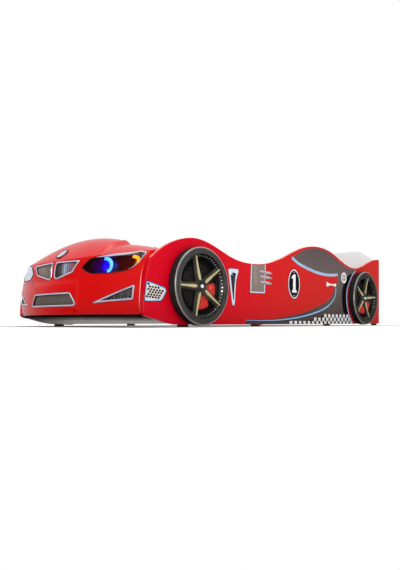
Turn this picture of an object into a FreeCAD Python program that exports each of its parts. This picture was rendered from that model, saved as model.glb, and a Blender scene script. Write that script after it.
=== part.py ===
import FreeCAD, Part
import math
import os

from FreeCAD import Vector as V

# A low toddler bed shaped like a sports car. Millimetres; the nose points to -Y, +X is the car's
# left side and the floor is Z = 0. Y counts back from the front axle until the parts are saved,
# and saving moves the origin to the middle of the whole length.

# driving dimensions
MATTRESS_LENGTH = 1900
MATTRESS_WIDTH = 900
SIDE_GAP = 12                    # between the mattress and each side panel
BOARD = 18                       # MDF thickness
PANEL_REAR = 1775
PANEL_BOTTOM = 10
HEADBOARD_TOP = 508
FOOT_BOTTOM = 45                 # footboard's lower edge, hidden behind the nose
HEADBOARD_INSET = 10             # behind it the side panels run on
FIT = 1                          # play along the bed
AXLE_HEIGHT = 171.5
WHEELBASE = 1507
TYRE_RADIUS = 165.5
TYRE_WIDTH = 38
NOSE_TIP = -406
ABS = 3.5                        # thickness of the moulded nose
RAIL_TOP = 130
RAIL_DEPTH = 38
RAIL_WIDTH = 37
SLAT_COUNT = 13
BASE_HEIGHT = 20                 # side bars of the slatted base
EDGE_ROUND = 3                   # rounded lip along a panel's outline

INNER = MATTRESS_WIDTH / 2 + SIDE_GAP
OUTER = INNER + BOARD
HEAD_FRONT = PANEL_REAR - HEADBOARD_INSET - BOARD
FOOT_REAR = HEAD_FRONT - FIT - MATTRESS_LENGTH
FOOT_FRONT = FOOT_REAR - BOARD
SIDES = (1, -1)
AXLES = {"front": 0, "rear": WHEELBASE}

PARTS = {}


def keep(name, *shapes):
    """Name one piece, or one group of identical pieces."""
    PARTS[name] = shapes[0] if len(shapes) == 1 else Part.makeCompound(list(shapes))


def box(x, y, z):
    """A block from its (low, high) pairs."""
    return Part.makeBox(x[1] - x[0], y[1] - y[0], z[1] - z[0], V(x[0], y[0], z[0]))


def mirrored(shape):
    return shape.mirror(V(0, 0, 0), V(1, 0, 0))


def on_side(shape, side):
    return shape if side > 0 else mirrored(shape)


def fused(shapes):
    return shapes[0].fuse(shapes[1:]).removeSplitter()


def rod(start, direction, radius, length):
    return Part.makeCylinder(radius, length, start, direction)


# side panels, headboard and footboard

PANEL_CRESTS = [
    (-263, 268), (-207, 312), (-120, 355), (0, 377), (120, 354), (250, 313), (375, 300),
    (520, 314), (687, 368), (854, 427), (1000, 444), (1133, 429), (1306, 373), (1448, 357),
    (1614, 405), (1700, 430), (PANEL_REAR, 439),
]
PANEL_CHIN = [(-118, PANEL_BOTTOM), (-195, 23), (-255, 38), (-287, 46), (-297, 56)]
PANEL_BROW = [(-297, 56), (-287, 168), (-263, 268)]


def panel_wire(x):
    def at(points):
        return [V(x, y, z) for y, z in points]

    top = Part.BSplineCurve()
    top.interpolate(at(PANEL_CRESTS))
    chin = Part.BSplineCurve()
    chin.interpolate(at(PANEL_CHIN))
    low_rear = V(x, PANEL_REAR, PANEL_BOTTOM)
    high_rear = V(x, *PANEL_CRESTS[-1])
    return Part.Wire([
        top.toShape(),
        Part.LineSegment(high_rear, low_rear).toShape(),
        Part.LineSegment(low_rear, V(x, *PANEL_CHIN[0])).toShape(),
        chin.toShape(),
        Part.Arc(*at(PANEL_BROW)).toShape(),
    ])


def side_panel():
    board = Part.Face(panel_wire(INNER)).extrude(V(BOARD, 0, 0))
    rims = [e for e in board.Edges if e.BoundBox.XLength < 0.01 and e.BoundBox.ZMax > 60]
    outline = [e for e in rims if e.BoundBox.YLength > 20]
    return board.makeFillet(EDGE_ROUND, outline)


def headboard():
    shoulder, corner, corner_z = 352, INNER - 0.5, 432
    outline = [
        (-corner, 25), (corner, 25), (corner, corner_z), (shoulder, HEADBOARD_TOP),
        (-shoulder, HEADBOARD_TOP), (-corner, corner_z), (-corner, 25),
    ]
    wire = Part.makePolygon([V(x, HEAD_FRONT, z) for x, z in outline])
    board = Part.Face(wire).extrude(V(0, BOARD, 0))
    tops = [e for e in board.Edges if e.BoundBox.YLength < 0.01 and e.CenterOfMass.z > 440]
    return board.makeFillet(EDGE_ROUND, tops)


# the nose: one moulded sheet over the bow of the car

NOSE_HALF = INNER - 1
BOW = 108                        # how far the middle of the bumper leads its ends
BROW_FRONT = -384                # leading edge of the bonnet, at the middle
BROW_SWEEP = 149
BROW_HEIGHT = 284
BROW_RISE = 22
BONNET_HEIGHT = 404
FENDER_HEIGHT = 358
CREASE = 205                     # where the raised middle of the bonnet ends
LIP_HEIGHT = 52                  # lower edge of the nose


def smooth(k):
    k = min(max(k, 0), 1)
    return k * k * (3 - 2 * k)


def bumper_line(x):
    """Bumper section at x: (y, z) from the lip up to the bonnet's leading edge."""
    t = abs(x) / NOSE_HALF
    bow = NOSE_TIP + BOW * t ** 2
    brow = (BROW_FRONT + BROW_SWEEP * t ** 2.6, BROW_HEIGHT + BROW_RISE * t ** 2)
    lip = LIP_HEIGHT - t ** 4
    waist = (bow + 9, 205)
    shoulder = ((waist[0] + brow[0]) / 2 - 3 - 7 * t, (waist[1] + brow[1]) / 2 + 3)
    return [(bow + 7, lip), (bow + 1.5, 80), (bow, 115), (bow + 3.5, 160), waist, shoulder, brow]


def bonnet_end(x, u):
    """Height that the bonnet reaches at its rear edge, u of the way back from the brow."""
    a = abs(x)
    raised = BONNET_HEIGHT - 26 * (a / 200) ** 2
    fender = FENDER_HEIGHT - 46 * (max(a - 200, 0) / 261) ** 1.5
    k = smooth((a - CREASE - 40 * (1 - u)) / 40)
    return raised * (1 - k) + fender * k


def bonnet_line(x, u):
    y0, z0 = bumper_line(x)[-1]
    y = y0 + (FOOT_REAR - y0) * u
    return y, z0 + (bonnet_end(x, u) - z0) * (1 - (1 - u) ** 2.1)


BONNET_STEPS = (0.07, 0.18, 0.32, 0.5, 0.7, 0.86, 1)


def nose_line(x):
    section = bumper_line(x) + [bonnet_line(x, u) for u in BONNET_STEPS]
    return [V(x, y, z) for y, z in section]


NOSE_STATIONS = [NOSE_HALF * k / 12 for k in range(-12, 13)]


def surface_through(rows):
    sheet = Part.BSplineSurface()
    sheet.interpolate(rows)
    return sheet


def outer_nose():
    return surface_through([nose_line(x) for x in NOSE_STATIONS])


def inner_nose(outer, depth):
    """The same sheet, moved in along its own normal; the ends stay in their planes."""
    upward = outer.normal(*outer.parameter(nose_line(0)[-1])).z
    inward = -depth if upward > 0 else depth
    rows = []
    for x in NOSE_STATIONS:
        row = []
        for point in nose_line(x):
            normal = outer.normal(*outer.parameter(point))
            move = V(0, normal.y, normal.z)
            move.normalize()
            row.append(point + move * inward)
        row[-1].y = FOOT_REAR
        rows.append(row)
    return surface_through(rows)


def sheet_solid(outer, inner):
    a, b = outer.toShape(), inner.toShape()
    faces = [a, b]
    u0, u1, v0, v1 = outer.bounds()
    p0, p1, q0, q1 = inner.bounds()
    for first, second in ((u0, p0), (u1, p1)):
        faces.append(Part.makeRuledSurface(outer.uIso(first).toShape(), inner.uIso(second).toShape()))
    for first, second in ((v0, q0), (v1, q1)):
        faces.append(Part.makeRuledSurface(outer.vIso(first).toShape(), inner.vIso(second).toShape()))
    shell = Part.Shell(faces)
    shell.sewShape()
    solid = Part.Solid(shell)
    if solid.Volume < 0:
        solid.reverse()
    return solid


# outlines of what sits in the nose, as (x, z) seen from the front, for the car's left side
UPPER_GRILLE = [(14, 279), (174, 274), (140, 229), (27, 203), (12, 213)]
LOWER_GRILLE = [(-138, 143), (138, 143), (172, 98), (163, 88), (-163, 88), (-172, 98)]
SIDE_INTAKE = [(262, 99), (437, 165), (434, 109)]
LAMP = [
    (192, 243), (232, 280), (297, 287), (405, 297), (452, 300), (446, 260), (425, 234),
    (389, 221), (325, 216), (240, 216), (208, 231),
]
FRAME = 6                        # width of a grille's chrome frame
FRONT = -470                     # ahead of everything
LAMP_BACK = -225                 # the lamp's opening stops short of the bonnet behind it
BUCKET = 32                      # depth of the lamp's bucket


def face_of(points, grow=0.0):
    wire = Part.makePolygon([V(x, FRONT, z) for x, z in points + points[:1]])
    if grow:
        wire = wire.makeOffset2D(grow)
    return Part.Face(wire)


def prism(points, grow=0.0, back=LAMP_BACK):
    return face_of(points, grow).extrude(V(0, back - FRONT, 0))


def bumper_band(front, back):
    """A slab that follows the bumper: from front to back behind its outer face, along Y."""
    rows = [[V(x, y + front, z) for y, z in bumper_line(x)] for x in NOSE_STATIONS]
    return surface_through(rows).toShape().extrude(V(0, back - front, 0))


def ring_piece(points, front, back, width=FRAME):
    band = bumper_band(front, back)
    return band.common(prism(points)).cut(prism(points, -width))


def crossed_bars(points, front, back, spacing, slant):
    """A woven grille insert: two sets of slanted bars behind the frame."""
    low_x, high_x = min(p[0] for p in points), max(p[0] for p in points)
    low_z, high_z = min(p[1] for p in points), max(p[1] for p in points)
    middle = V((low_x + high_x) / 2, 0, (low_z + high_z) / 2)
    reach = high_x - low_x + high_z - low_z
    bars = []
    for angle in (slant, -slant):
        for k in range(-int(reach / spacing / 2), int(reach / spacing / 2) + 1):
            bar = box((-reach / 2, reach / 2), (FRONT, LAMP_BACK), (k * spacing - 1, k * spacing + 1))
            bar.rotate(V(0, 0, 0), V(0, 1, 0), angle)
            bar.translate(middle)
            bars.append(bar)
    mesh = bars[0].fuse(bars[1:])
    return bumper_band(front, back).common(prism(points, -1)).common(mesh)


def upright_bars(points, front, back, count):
    low_x, high_x = min(p[0] for p in points), max(p[0] for p in points)
    step = (high_x - low_x) / count
    bars = [
        box((low_x + step * k - 2, low_x + step * k + 2), (FRONT, LAMP_BACK), (190, 290))
        for k in range(1, count)
    ]
    return bumper_band(front, back).common(prism(points, -1)).common(Part.makeCompound(bars))


def lamp_housing():
    """The bucket behind the lens: a wall round the opening and a back that follows the bumper."""
    wall = bumper_band(ABS + 1, BUCKET).common(prism(LAMP, 3)).cut(prism(LAMP, 1))
    back = bumper_band(BUCKET - 3, BUCKET).common(prism(LAMP, 3))
    return fused([wall, back])


def bumper_at(x, z):
    """Y of the bumper's outer face at a height, from the section's points."""
    section = bumper_line(x)
    for (y0, z0), (y1, z1) in zip(section, section[1:]):
        if z <= z1:
            return y0 + (y1 - y0) * (z - z0) / (z1 - z0)
    return section[-1][0]


def light_ring(centre, radius):
    """A C of light pipe that follows the lens, half way down the bucket."""
    points = []
    for k in range(9):
        a = math.radians(-95 + 190 * k / 8)
        x, z = centre[0] + radius * math.cos(a), centre[1] + radius * math.sin(a)
        points.append(V(x, bumper_at(x, z) + BUCKET / 2, z))
    curve = Part.BSplineCurve()
    curve.interpolate(points)
    start = curve.FirstParameter
    section = Part.Wire(Part.Circle(points[0], curve.tangent(start)[0], 3.5).toShape())
    return Part.Wire(curve.toShape()).makePipeShell([section], True, True)


BLUE_RING = {"centre": (304, 248), "radius": 27}
AMBER_RING = {"centre": (408, 262), "radius": 20}
BADGE = {"y": -350, "radius": 33, "thick": 5}


def badge():
    """A plain round badge, laid on the slope of the bonnet."""
    u = (BADGE["y"] - BROW_FRONT) / (FOOT_REAR - BROW_FRONT)
    y, z = bonnet_line(0, u)
    ahead = V(0, *bonnet_line(0, u + 0.08)) - V(0, *bonnet_line(0, u - 0.08))
    normal = V(0, -ahead.z, ahead.y)
    normal.normalize()
    disc = rod(V(0, y, z) - normal * 2, normal, BADGE["radius"], BADGE["thick"] + 2)
    top = [e for e in disc.Edges if (e.CenterOfMass - V(0, y, z)).dot(normal) > BADGE["thick"] - 0.5]
    return disc.makeFillet(3, top[:1])


def rib(x):
    """An MDF rib that carries the moulding; it follows the inside of the bonnet."""
    gap = ABS + 7
    steps = [k / 8 for k in range(2, 9)]
    top = [V(x, *bonnet_line(x, u)) - V(0, 0, gap) for u in steps]
    top = [p for p in top if p.y < FOOT_FRONT - 8] + [V(x, FOOT_FRONT, bonnet_line(x, 0.93)[1] - gap - 2)]
    front_y = top[0].y + 6
    outline = [V(x, FOOT_FRONT, 60), V(x, front_y, 60), V(x, front_y, top[0].z - 12)] + top
    return Part.Face(Part.makePolygon(outline + outline[:1])).extrude(V(12, 0, 0))


def footboard():
    xs = [NOSE_HALF * k / 16 for k in range(-16, 17)]
    top = Part.BSplineCurve()
    top.interpolate([V(x, FOOT_FRONT, bonnet_line(x, 0.9)[1] - ABS - 3) for x in xs])
    low = [V(xs[-1], FOOT_FRONT, FOOT_BOTTOM), V(xs[0], FOOT_FRONT, FOOT_BOTTOM)]
    wire = Part.Wire([
        top.toShape(),
        Part.LineSegment(top.EndPoint, low[0]).toShape(),
        Part.LineSegment(low[0], low[1]).toShape(),
        Part.LineSegment(low[1], top.StartPoint).toShape(),
    ])
    return Part.Face(wire).extrude(V(0, BOARD, 0))


# wheels: screwed to the outside of the panels

RIM_RADIUS = 136
HUB_PLANE = OUTER + TYRE_WIDTH - 7
SPOKES = 5


def turned(profile, axle_y):
    """Spin an (x, r) profile about a wheel's axle."""
    points = [V(x, axle_y, AXLE_HEIGHT + r) for x, r in profile]
    face = Part.Face(Part.makePolygon(points + points[:1]))
    return face.revolve(V(0, axle_y, AXLE_HEIGHT), V(1, 0, 0), 360)


def tyre(axle_y):
    face = OUTER + TYRE_WIDTH
    profile = [
        (OUTER, RIM_RADIUS), (OUTER, TYRE_RADIUS - 3), (OUTER + 3, TYRE_RADIUS),
        (face - 8, TYRE_RADIUS), (face - 3, TYRE_RADIUS - 3), (face, TYRE_RADIUS - 9),
        (face + 1, RIM_RADIUS + 10), (face - 1, RIM_RADIUS),
    ]
    return turned(profile, axle_y)


def spoke(axle_y, angle):
    """One spoke: a wide flank with a raised ridge, from the hub to the lip."""
    blocks = []
    ridge = HUB_PLANE - 4
    r0, r1 = 14, RIM_RADIUS - 12
    for half_in, half_out, low, high in ((17, 12, ridge - 8, ridge), (7, 4, ridge, HUB_PLANE)):
        corners = [(-half_in, r0), (half_in, r0), (half_out, r1), (-half_out, r1)]
        wire = Part.makePolygon([V(low, axle_y + a, AXLE_HEIGHT + r) for a, r in corners + corners[:1]])
        blocks.append(Part.Face(wire).extrude(V(high - low, 0, 0)))
    arm = fused(blocks)
    arm.rotate(V(0, axle_y, AXLE_HEIGHT), V(1, 0, 0), angle)
    return arm


def rim(axle_y, turn):
    back = OUTER + 1
    face = OUTER + TYRE_WIDTH - 2
    dish = turned([
        (back, 0), (back, RIM_RADIUS), (face, RIM_RADIUS), (face - 2, RIM_RADIUS - 4),
        (face - 14, RIM_RADIUS - 15), (back + 4, RIM_RADIUS - 17), (back + 4, 0),
    ], axle_y)
    hub = turned([(back, 0), (back, 24), (HUB_PLANE - 2, 20), (HUB_PLANE - 2, 0)], axle_y)
    arms = [spoke(axle_y, turn + 360 * k / SPOKES) for k in range(SPOKES)]
    return fused([dish, hub] + arms)


def brake_disc(axle_y):
    return turned([(OUTER + 6, 25), (OUTER + 6, 96), (OUTER + 10, 96), (OUTER + 10, 25)], axle_y)


def caliper(axle_y, middle):
    """A quarter of a ring over the brake disc, seen between the spokes."""
    low, high = OUTER + 10.5, OUTER + 17
    ring = turned([(low, 34), (low, 100), (high - 3, 100), (high, 92), (high, 40)], axle_y)
    wedge = []
    for edge in (-50, 50):
        a = math.radians(middle + edge)
        wedge.append(V(low - 1, axle_y + 200 * math.cos(a), AXLE_HEIGHT + 200 * math.sin(a)))
    centre = V(low - 1, axle_y, AXLE_HEIGHT)
    a = math.radians(middle)
    tip = V(low - 1, axle_y + 260 * math.cos(a), AXLE_HEIGHT + 260 * math.sin(a))
    cutter = Part.Face(Part.makePolygon([centre, wedge[0], tip, wedge[1], centre])).extrude(V(20, 0, 0))
    return ring.common(cutter)


def hub_cap(axle_y):
    dome = [(-2, 0), (-2, 13), (2, 12), (5, 8), (6, 0)]
    return turned([(HUB_PLANE + x, r) for x, r in dome], axle_y)


SPOKE_TURN = {"front": 90, "rear": -86}          # the spokes' places differ from front to rear
CALIPER_MIDDLE = {"front": -40, "rear": -68}


# structure

RAIL_FRONT = FOOT_REAR + FIT
RAIL_REAR = HEAD_FRONT - FIT
CLEAT_DEPTH = 45
BASE_GAP = 0.3
BASE_FRONT = FOOT_REAR + 36
BASE_REAR = HEAD_FRONT - 14
BASE_Z = RAIL_TOP + BASE_GAP
BAR_OUT = INNER - 17
BAR_WIDTH = 32
SLAT = {"width": 53, "thick": 8, "crown": 12}


def slat(y):
    """A sprung slat, arched up in the middle."""
    reach = BAR_OUT - 12
    low = BASE_Z + BASE_HEIGHT + 5
    w, t, crown = SLAT["width"], SLAT["thick"], SLAT["crown"]
    under = Part.Arc(V(-reach, y, low), V(0, y, low + crown), V(reach, y, low)).toShape()
    over = Part.Arc(V(reach, y, low + t), V(0, y, low + t + crown), V(-reach, y, low + t)).toShape()
    ends = [
        Part.LineSegment(V(reach, y, low), V(reach, y, low + t)).toShape(),
        Part.LineSegment(V(-reach, y, low + t), V(-reach, y, low)).toShape(),
    ]
    return Part.Face(Part.Wire([under, ends[0], over, ends[1]])).extrude(V(0, w, 0))


def slat_holder(y, side):
    """A plastic cap that holds one end of a slat on the side bar."""
    w = SLAT["width"]
    low = BASE_Z + BASE_HEIGHT
    block = box((BAR_OUT - BAR_WIDTH + 1, BAR_OUT - 1), (y - 4, y + w + 4), (low, low + 18))
    block = block.makeFillet(3, [e for e in block.Edges if e.CenterOfMass.z > low + 17])
    return on_side(block, side).cut(slat(y))


def bolt(side, y, z, length):
    """A corner bolt with its flush head in the face of the side panel."""
    head = rod(V(OUTER - 4, y, z), V(1, 0, 0), 7, 3.5)
    shank = rod(V(OUTER - 4 - length, y, z), V(1, 0, 0), 3, length)
    return on_side(head.fuse(shank), side)


def barrel_nut(side, y, z):
    nut = rod(V(OUTER - 45, y - 6, z), V(0, 1, 0), 5, 12)
    hole = rod(V(OUTER - 60, y, z), V(1, 0, 0), 3, 40)
    return on_side(nut.cut(hole), side)


def rail_screw(side, y):
    z = RAIL_TOP - RAIL_DEPTH / 2
    head = rod(V(INNER - RAIL_WIDTH, y, z), V(1, 0, 0), 5, 3)
    shank = rod(V(INNER - RAIL_WIDTH, y, z), V(1, 0, 0), 2.5, RAIL_WIDTH + 12)
    return on_side(head.fuse(shank), side)


def wheel_screw(side, axle_y, angle):
    a = math.radians(angle)
    y, z = axle_y + 60 * math.cos(a), AXLE_HEIGHT + 60 * math.sin(a)
    head = rod(V(INNER - 3, y, z), V(1, 0, 0), 6, 3)
    shank = rod(V(INNER - 3, y, z), V(1, 0, 0), 2.5, BOARD + 7)
    return on_side(head.fuse(shank), side)


def bonnet_screw(x):
    y = (FOOT_FRONT + FOOT_REAR) / 2
    top = bonnet_line(x, (y - bumper_line(x)[-1][0]) / (FOOT_REAR - bumper_line(x)[-1][0]))[1]
    head = rod(V(x, y, top - 0.5), V(0, 0, 1), 5, 2)
    shank = rod(V(x, y, top - 32), V(0, 0, 1), 2, 32)
    return head.fuse(shank)


def glide(side, y):
    block = box((INNER + 1, OUTER - 1), (y - 25, y + 25), (0, PANEL_BOTTOM))
    rims = [e for e in block.Edges if e.CenterOfMass.z < 0.1]
    return on_side(block.makeChamfer(1.5, rims), side)


# lamp control box with its rocker switch, on the bed side of the footboard

CONTROL_X = (300, 380)
CONTROL_Z = (275, 315)
CONTROL_DEPTH = 26
CONTROL_FACE = FOOT_REAR + CONTROL_DEPTH
SWITCH = {"x": 330, "z": 295, "half_width": 10, "radius": 8.6, "play": 0.4}
SWITCH_TILT = 7
SWITCH_PIVOT = V(SWITCH["x"], CONTROL_FACE - 5, SWITCH["z"])
INLET = {"x": 362, "radius": 5.5, "bore": 2.8, "length": 12}


def switch_hole():
    half, reach = SWITCH["half_width"] + SWITCH["play"], SWITCH["radius"] + SWITCH["play"]
    return box(
        (SWITCH["x"] - half, SWITCH["x"] + half), (CONTROL_FACE - 4, CONTROL_FACE + 1),
        (SWITCH["z"] - reach, SWITCH["z"] + reach),
    )


def control_box():
    wall = 2
    case = box(CONTROL_X, (FOOT_REAR, CONTROL_FACE), CONTROL_Z)
    case = case.makeFillet(3, [e for e in case.Edges if e.CenterOfMass.y > CONTROL_FACE - 0.1])
    hollow = box(
        (CONTROL_X[0] + wall, CONTROL_X[1] - wall), (FOOT_REAR + wall, CONTROL_FACE - wall),
        (CONTROL_Z[0] + wall, CONTROL_Z[1] - wall),
    )
    return case.cut(hollow).cut(switch_hole()).cut(inlet_plug())


def rocker_switch():
    half = SWITCH["half_width"]
    drum = rod(SWITCH_PIVOT - V(half, 0, 0), V(1, 0, 0), SWITCH["radius"], 2 * half)
    px, py, pz = SWITCH_PIVOT
    section = [(-3, -10), (7, -10), (5.6, 0), (7, 10), (-3, 10)]
    wire = Part.makePolygon([V(px - half, py + y, pz + z) for y, z in section + section[:1]])
    rocker = drum.common(Part.Face(wire).extrude(V(2 * half, 0, 0)))
    rocker.rotate(SWITCH_PIVOT, V(1, 0, 0), -SWITCH_TILT)
    return rocker


def inlet_plug():
    y = FOOT_REAR + CONTROL_DEPTH / 2
    return rod(V(INLET["x"], y, CONTROL_Z[0] - 3), V(0, 0, 1), INLET["radius"], INLET["length"])


def dc_inlet():
    y = FOOT_REAR + CONTROL_DEPTH / 2
    bore = rod(V(INLET["x"], y, CONTROL_Z[0] - 4), V(0, 0, 1), INLET["bore"], INLET["length"] - 2)
    return inlet_plug().cut(bore)


LEAD_RADIUS = 3
LEAD_END_GAP = 0.7               # kept between a lead and the back of its lamp housing
LAMP_SOCKET = (325, bumper_at(325, 250) + BUCKET + LEAD_END_GAP, 250)
CROSSING = (-200, 240)           # (y, z) where the long lead crosses behind the nose
LEADS = {
    "left": [V(352, FOOT_REAR, 300), V(352, -200, 300), V(335, -238, 264), V(*LAMP_SOCKET)],
    "right": [
        V(326, FOOT_REAR, 284), V(326, -194, 284), V(296, *CROSSING), V(-290, *CROSSING),
        V(-328, -240, 250), V(-LAMP_SOCKET[0], *LAMP_SOCKET[1:]),
    ],
}


def lead(points):
    """A lamp lead: straight runs joined by arcs, as wide as the runs allow."""
    edges, here = [], points[0]
    for before, corner, after in zip(points, points[1:], points[2:]):
        come, go = before - corner, after - corner
        trim = 0.45 * min(come.Length, go.Length, 60)
        come.normalize()
        go.normalize()
        start, end = corner + come * trim, corner + go * trim
        half = come.getAngle(go) / 2
        bisector = come + go
        bisector.normalize()
        radius = trim * math.tan(half)
        middle = corner + bisector * (trim / math.cos(half) - radius)
        edges += [Part.LineSegment(here, start).toShape(), Part.Arc(start, middle, end).toShape()]
        here = end
    edges.append(Part.LineSegment(here, points[-1]).toShape())
    path = Part.Wire(edges)
    section = Part.Wire(Part.Circle(points[0], points[1] - points[0], LEAD_RADIUS).toShape())
    return path.makePipeShell([section], True, False)


# build

outer = outer_nose()
shell = sheet_solid(outer, inner_nose(outer, ABS))
for side in SIDES:
    for outline, back in ((UPPER_GRILLE, -330), (SIDE_INTAKE, -280), (LAMP, LAMP_BACK)):
        shell = shell.cut(on_side(prism(outline, 0, back), side))
shell = shell.cut(prism(LOWER_GRILLE, 0, -330))

bolts, nuts, rail_screws, wheel_screws, glides = [], [], [], [], []
for side in SIDES:
    for board_y in (FOOT_FRONT + BOARD / 2, HEAD_FRONT + BOARD / 2):
        for z in (75, 235):
            bolts.append(bolt(side, board_y, z, 52))
            nuts.append(barrel_nut(side, board_y, z))
    rail_screws += [rail_screw(side, RAIL_FRONT + 80 + 430 * k) for k in range(5)]
    glides += [glide(side, y) for y in (-75, 420, 1100, 1715)]
    for axle_y in AXLES.values():
        wheel_screws += [wheel_screw(side, axle_y, a) for a in (90, 210, 330)]
bonnet_screws = [bonnet_screw(x) for x in (-400, -200, 0, 200, 400)]

keep("corner_bolts", *bolts)
keep("barrel_nuts", *nuts)
keep("rail_screws", *rail_screws)
keep("wheel_screws", *wheel_screws)
keep("bonnet_screws", *bonnet_screws)
keep("floor_glides", *glides)

panel = side_panel()
rail = box((INNER - RAIL_WIDTH, INNER), (RAIL_FRONT, RAIL_REAR), (RAIL_TOP - RAIL_DEPTH, RAIL_TOP))
for side, name in zip(SIDES, ("left", "right")):
    fixings = bolts + rail_screws + wheel_screws
    keep("side_panel_" + name, on_side(panel, side).cut(fixings))
    keep("rail_" + name, on_side(rail, side).cut(rail_screws))

lead_holes = [rod(points[0] - V(0, BOARD + 1, 0), V(0, 1, 0), 4, BOARD + 2) for points in LEADS.values()]
keep("headboard", headboard().cut(bolts + nuts))
keep("footboard", footboard().cut(bolts + nuts + bonnet_screws + lead_holes))
cleat_x = (-(INNER - RAIL_WIDTH - 1), INNER - RAIL_WIDTH - 1)
cleat_z = (RAIL_TOP - RAIL_DEPTH, RAIL_TOP)
keep("foot_cleat", box(cleat_x, (FOOT_REAR, FOOT_REAR + CLEAT_DEPTH), cleat_z))
keep("head_cleat", box(cleat_x, (HEAD_FRONT - CLEAT_DEPTH, HEAD_FRONT), cleat_z))

keep("bonnet_shell", shell.cut(bonnet_screws))
crossing_hole = rod(V(-250, *CROSSING), V(1, 0, 0), 6, 500)
keep("bonnet_ribs", *[rib(x).cut(crossing_hole) for x in (-236, -6, 224)])
keep("bonnet_badge", badge().cut(shell))
keep("lower_grille_frame", ring_piece(LOWER_GRILLE, -2, ABS))
keep("lower_grille_mesh", crossed_bars(LOWER_GRILLE, ABS, ABS + 3, 16, 30))
for side, name in zip(SIDES, ("left", "right")):
    keep("upper_grille_" + name, on_side(ring_piece(UPPER_GRILLE, -2, ABS), side))
    keep("grille_bars_" + name, on_side(upright_bars(UPPER_GRILLE, ABS, ABS + 5, 13), side))
    keep("side_intake_frame_" + name, on_side(ring_piece(SIDE_INTAKE, -2, ABS, 5), side))
    keep("side_intake_mesh_" + name, on_side(crossed_bars(SIDE_INTAKE, ABS, ABS + 3, 14, 38), side))
    bucket = on_side(lamp_housing(), side).cut(shell)
    keep("lamp_housing_" + name, max(bucket.Solids, key=lambda solid: solid.Volume))
    keep("lamp_lens_" + name, on_side(bumper_band(-1, 2).common(prism(LAMP, -0.4)), side))
    keep("blue_ring_" + name, on_side(light_ring(**BLUE_RING), side))
    keep("amber_ring_" + name, on_side(light_ring(**AMBER_RING), side))
    keep("lamp_lead_" + name, lead(LEADS[name]))

discs, calipers, caps = [], [], []
for side, name in zip(SIDES, ("left", "right")):
    for end, axle_y in AXLES.items():
        keep("tyre_" + end + "_" + name, on_side(tyre(axle_y), side))
        keep("rim_" + end + "_" + name, on_side(rim(axle_y, SPOKE_TURN[end]), side).cut(wheel_screws))
        discs.append(on_side(brake_disc(axle_y), side))
        calipers.append(on_side(caliper(axle_y, CALIPER_MIDDLE[end]), side))
        caps.append(on_side(hub_cap(axle_y), side))
keep("brake_discs", *discs)
keep("brake_calipers", *calipers)
keep("hub_caps", *caps)

bar = box((BAR_OUT - BAR_WIDTH, BAR_OUT), (BASE_FRONT, BASE_REAR), (BASE_Z, BASE_Z + BASE_HEIGHT))
keep("base_bar_left", bar)
keep("base_bar_right", mirrored(bar))
cross = (-(BAR_OUT - BAR_WIDTH), BAR_OUT - BAR_WIDTH)
cross_z = (BASE_Z, BASE_Z + BASE_HEIGHT)
keep("base_end_bars", *[box(cross, (y, y + 40), cross_z) for y in (BASE_FRONT, BASE_REAR - 40)])
pitch = (BASE_REAR - BASE_FRONT - SLAT["width"] - 40) / (SLAT_COUNT - 1)
slat_places = [BASE_FRONT + 20 + pitch * k for k in range(SLAT_COUNT)]
keep("slats", *[slat(y) for y in slat_places])
keep("slat_holders", *[slat_holder(y, side) for y in slat_places for side in SIDES])

keep("control_box", control_box())
keep("rocker_switch", rocker_switch())
keep("dc_inlet", dc_inlet())

nose_tip = min(PARTS[name].optimalBoundingBox(False).YMin for name in ("bonnet_shell", "lower_grille_frame"))
shift = V(0, -(nose_tip + PANEL_REAR) / 2, 0)
os.makedirs("parts", exist_ok=True)
for name, shape in PARTS.items():
    shape.translated(shift).exportStep("parts/" + name + ".step")
print("parts", len(PARTS), "origin moved back by", -shift.y)
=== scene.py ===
import math

import bmesh
import bpy
import numpy as np
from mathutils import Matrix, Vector


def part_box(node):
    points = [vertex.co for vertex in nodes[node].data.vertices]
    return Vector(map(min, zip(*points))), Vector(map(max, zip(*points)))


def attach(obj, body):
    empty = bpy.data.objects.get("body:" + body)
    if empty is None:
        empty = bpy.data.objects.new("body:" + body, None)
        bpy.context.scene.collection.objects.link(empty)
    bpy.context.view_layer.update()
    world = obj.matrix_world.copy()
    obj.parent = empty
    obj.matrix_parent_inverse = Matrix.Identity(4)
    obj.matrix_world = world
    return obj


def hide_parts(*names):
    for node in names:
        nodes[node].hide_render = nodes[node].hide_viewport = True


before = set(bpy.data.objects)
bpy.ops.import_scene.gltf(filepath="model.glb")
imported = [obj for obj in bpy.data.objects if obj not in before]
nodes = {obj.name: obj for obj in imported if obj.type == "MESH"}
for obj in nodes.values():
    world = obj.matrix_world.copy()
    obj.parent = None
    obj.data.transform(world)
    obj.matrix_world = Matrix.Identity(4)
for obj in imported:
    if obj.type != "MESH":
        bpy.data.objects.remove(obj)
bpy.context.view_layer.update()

scene = bpy.context.scene


# where things are, all taken from the frame
def middleOf(node, axis):
    low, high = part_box(node)
    return (low[axis] + high[axis]) / 2


frontAxle = middleOf("tyre_front_left", 1)
wheelbase = middleOf("tyre_rear_left", 1) - frontAxle
axleHeight = middleOf("tyre_front_left", 2)
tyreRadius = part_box("tyre_front_left")[1].z - axleHeight
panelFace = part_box("side_panel_left")[1].x
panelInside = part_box("side_panel_left")[0].x
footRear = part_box("footboard")[1].y - frontAxle
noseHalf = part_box("bonnet_shell")[1].x
sideNames = {"left": 1, "right": -1}


# mesh helpers; y counts back from the front axle in all of them
def newPiece(name, verts, faces, material, slot=None, angle=32, body="root", stage=False):
    mesh = bpy.data.meshes.new(name)
    mesh.from_pydata([(x, y + frontAxle, z) for x, y, z in verts], [], faces)
    mesh.materials.append(material)
    return placePiece(name, mesh, angle, body, stage)


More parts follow.
